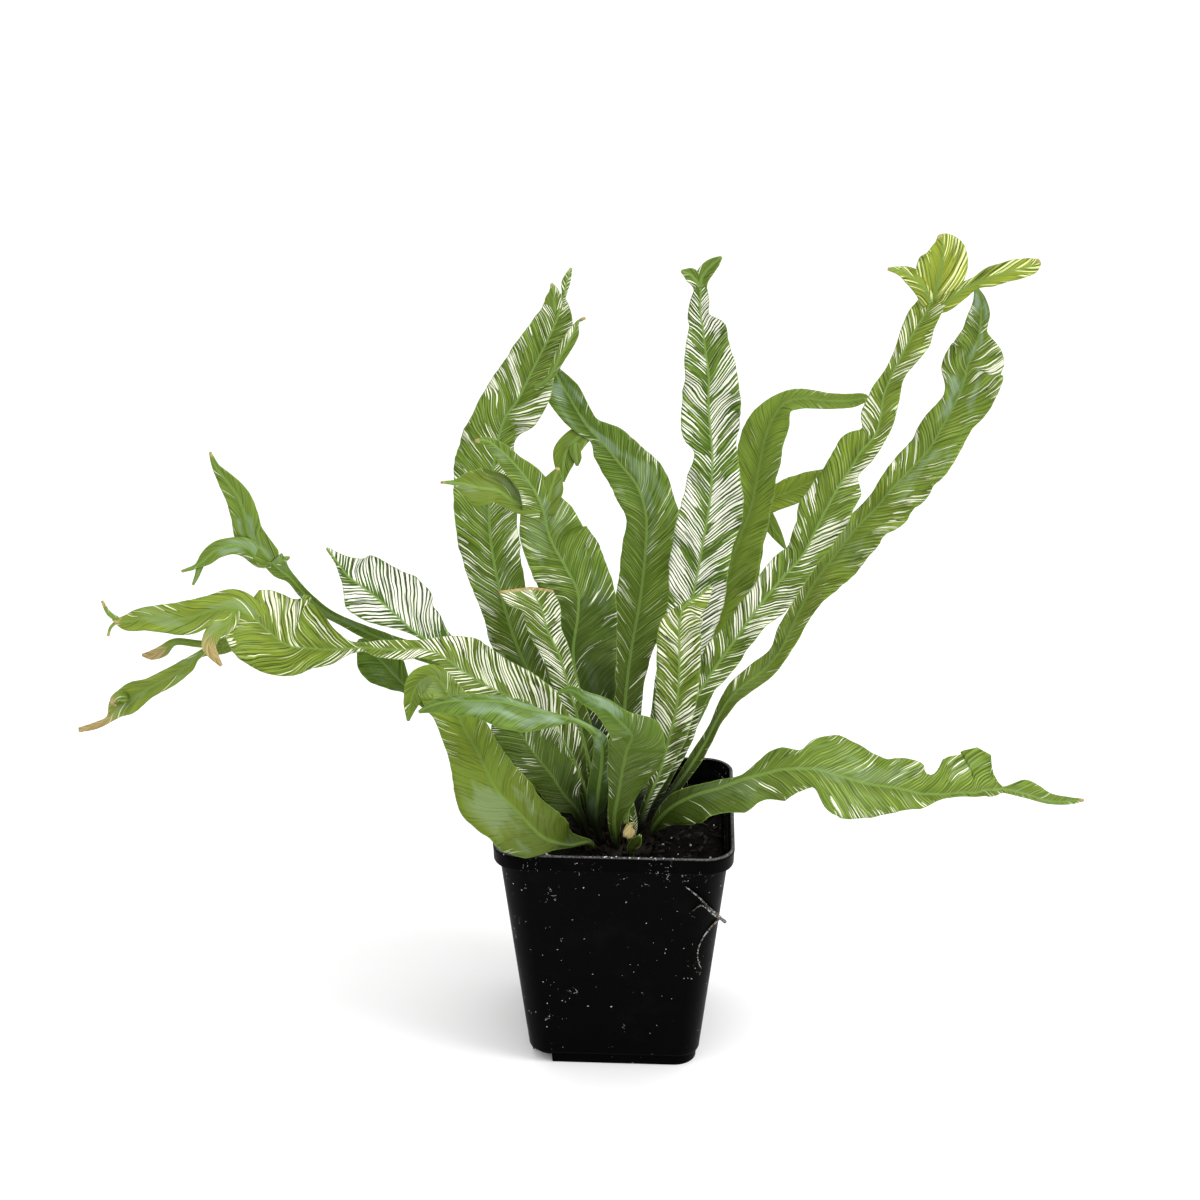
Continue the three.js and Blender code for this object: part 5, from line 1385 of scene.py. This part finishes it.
def add_lamp(name, place, aim, size, power):
    data = bpy.data.lights.new(name, "AREA")
    data.shape = "DISK"
    data.size = size
    data.energy = power
    lamp = bpy.data.objects.new(name, data)
    lamp.location = place
    lamp.rotation_euler = (Vector(aim) - Vector(place)).to_track_quat("-Z", "Y").to_euler()
    bpy.context.scene.collection.objects.link(lamp)


def studio_world(settings):
    """White surroundings that shine more from above, and are plain white to the camera."""
    world = bpy.data.worlds.new("studio")
    world.use_nodes = True
    maker = Maker(world.node_tree)
    _, _, up = maker.parts(maker.node("ShaderNodeTexCoord").outputs["Generated"])
    rise = maker.scaled(maker.step(up, 0.0, 0.8), settings.zenith - settings.horizon,
                      settings.horizon)
    seen = maker.node("ShaderNodeLightPath").outputs["Is Camera Ray"]
    back = world.node_tree.nodes["Background"]
    maker.feed(back.inputs["Color"], (1, 1, 1))
    maker.feed(back.inputs["Strength"], maker.most(rise, seen))
    return world


def build_stage(settings):
    bm = bmesh.new()
    bmesh.ops.create_circle(bm, cap_ends=True, segments=96, radius=settings.floor)
    floor = new_object("floor", bm, unit=1)
    floor.data.materials.append(stage_material())
    add_lamp("key_light", (1.2, -0.45, 1.25), (0, 0, 0.18), 0.8, settings.key)
    add_lamp("fill_light", (-1.3, -1.1, 0.9), (0, 0, 0.2), 1.4, settings.key * 0.2)
    scene = bpy.context.scene
    scene.world = studio_world(settings)
    scene.view_settings.view_transform = "Standard"
    data = bpy.data.cameras.new("camera")
    data.lens = settings.lens
    data.sensor_width = 36
    data.clip_end = 100
    camera = bpy.data.objects.new("camera", data)
    camera.location = CAMERA_PLACE * MM
    camera.rotation_euler = (CAMERA_AIM - CAMERA_PLACE).to_track_quat("-Z", "Y").to_euler()
    scene.collection.objects.link(camera)
    scene.camera = camera


class FERN_OT_pot(bpy.types.Operator):
    """Build the square nursery pot"""

    bl_idname = "fern.pot"
    bl_label = "Pot"

    def execute(self, context):
        if "specks" not in bpy.data.node_groups:
            speck_group()
        build_pot(context.scene.fern_pot)
        return {"FINISHED"}


class FERN_OT_soil(bpy.types.Operator):
    """Build the potting mix with its grains, chips and the root on the wall"""

    bl_idname = "fern.soil"
    bl_label = "Potting mix"

    def execute(self, context):
        settings = context.scene.fern_soil
        build_soil(settings)
        build_grains(settings)
        build_chips(settings)
        build_root()
        return {"FINISHED"}


class FERN_OT_crown(bpy.types.Operator):
    """Build the crown of dark scales that the fronds grow from"""

    bl_idname = "fern.crown"
    bl_label = "Crown"

    def execute(self, context):
        build_crown(context.scene.fern_soil)
        return {"FINISHED"}


class FERN_OT_fronds(bpy.types.Operator):
    """Build all the fronds with their lobes"""

    bl_idname = "fern.fronds"
    bl_label = "Fronds"

    def execute(self, context):
        if "streaks" not in bpy.data.node_groups:
            streak_group()
        for k, frond in enumerate(FRONDS):
            build_frond(frond, 3.1 * (k + 1), context.scene.fern_fronds)
        return {"FINISHED"}


class FERN_OT_stage(bpy.types.Operator):
    """Build the floor, the lights and the camera"""

    bl_idname = "fern.stage"
    bl_label = "Stage"

    def execute(self, context):
        build_stage(context.scene.fern_stage)
        return {"FINISHED"}


class FERN_PT_panel(bpy.types.Panel):
    """Lists the steps that build the fern"""

    bl_label = "Bird's nest fern"
    bl_idname = "FERN_PT_panel"
    bl_space_type = "VIEW_3D"
    bl_region_type = "UI"
    bl_category = "Fern"

    def draw(self, context):
        for operator in OPERATORS:
            self.layout.operator(operator.bl_idname)
        for name, group in SETTINGS.items():
            box = self.layout.box()
            box.label(text=group.__doc__)
            for key in group.__annotations__:
                box.prop(getattr(context.scene, name), key)


OPERATORS = (FERN_OT_pot, FERN_OT_soil, FERN_OT_crown, FERN_OT_fronds, FERN_OT_stage)
SETTINGS = {
    "fern_pot": FernPotSettings,
    "fern_soil": FernSoilSettings,
    "fern_fronds": FernFrondSettings,
    "fern_stage": FernStageSettings,
}
CLASSES = (*SETTINGS.values(), *OPERATORS, FERN_PT_panel)


def register():
    for made in CLASSES:
        bpy.utils.register_class(made)
    for name, group in SETTINGS.items():
        setattr(bpy.types.Scene, name, bpy.props.PointerProperty(type=group))


def unregister():
    for name in SETTINGS:
        delattr(bpy.types.Scene, name)
    for made in reversed(CLASSES):
        bpy.utils.unregister_class(made)


def main():
    register()
    bpy.ops.fern.pot()
    bpy.ops.fern.soil()
    bpy.ops.fern.crown()
    bpy.ops.fern.fronds()
    bpy.ops.fern.stage()
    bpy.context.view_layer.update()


if __name__ == "__main__":
    main()
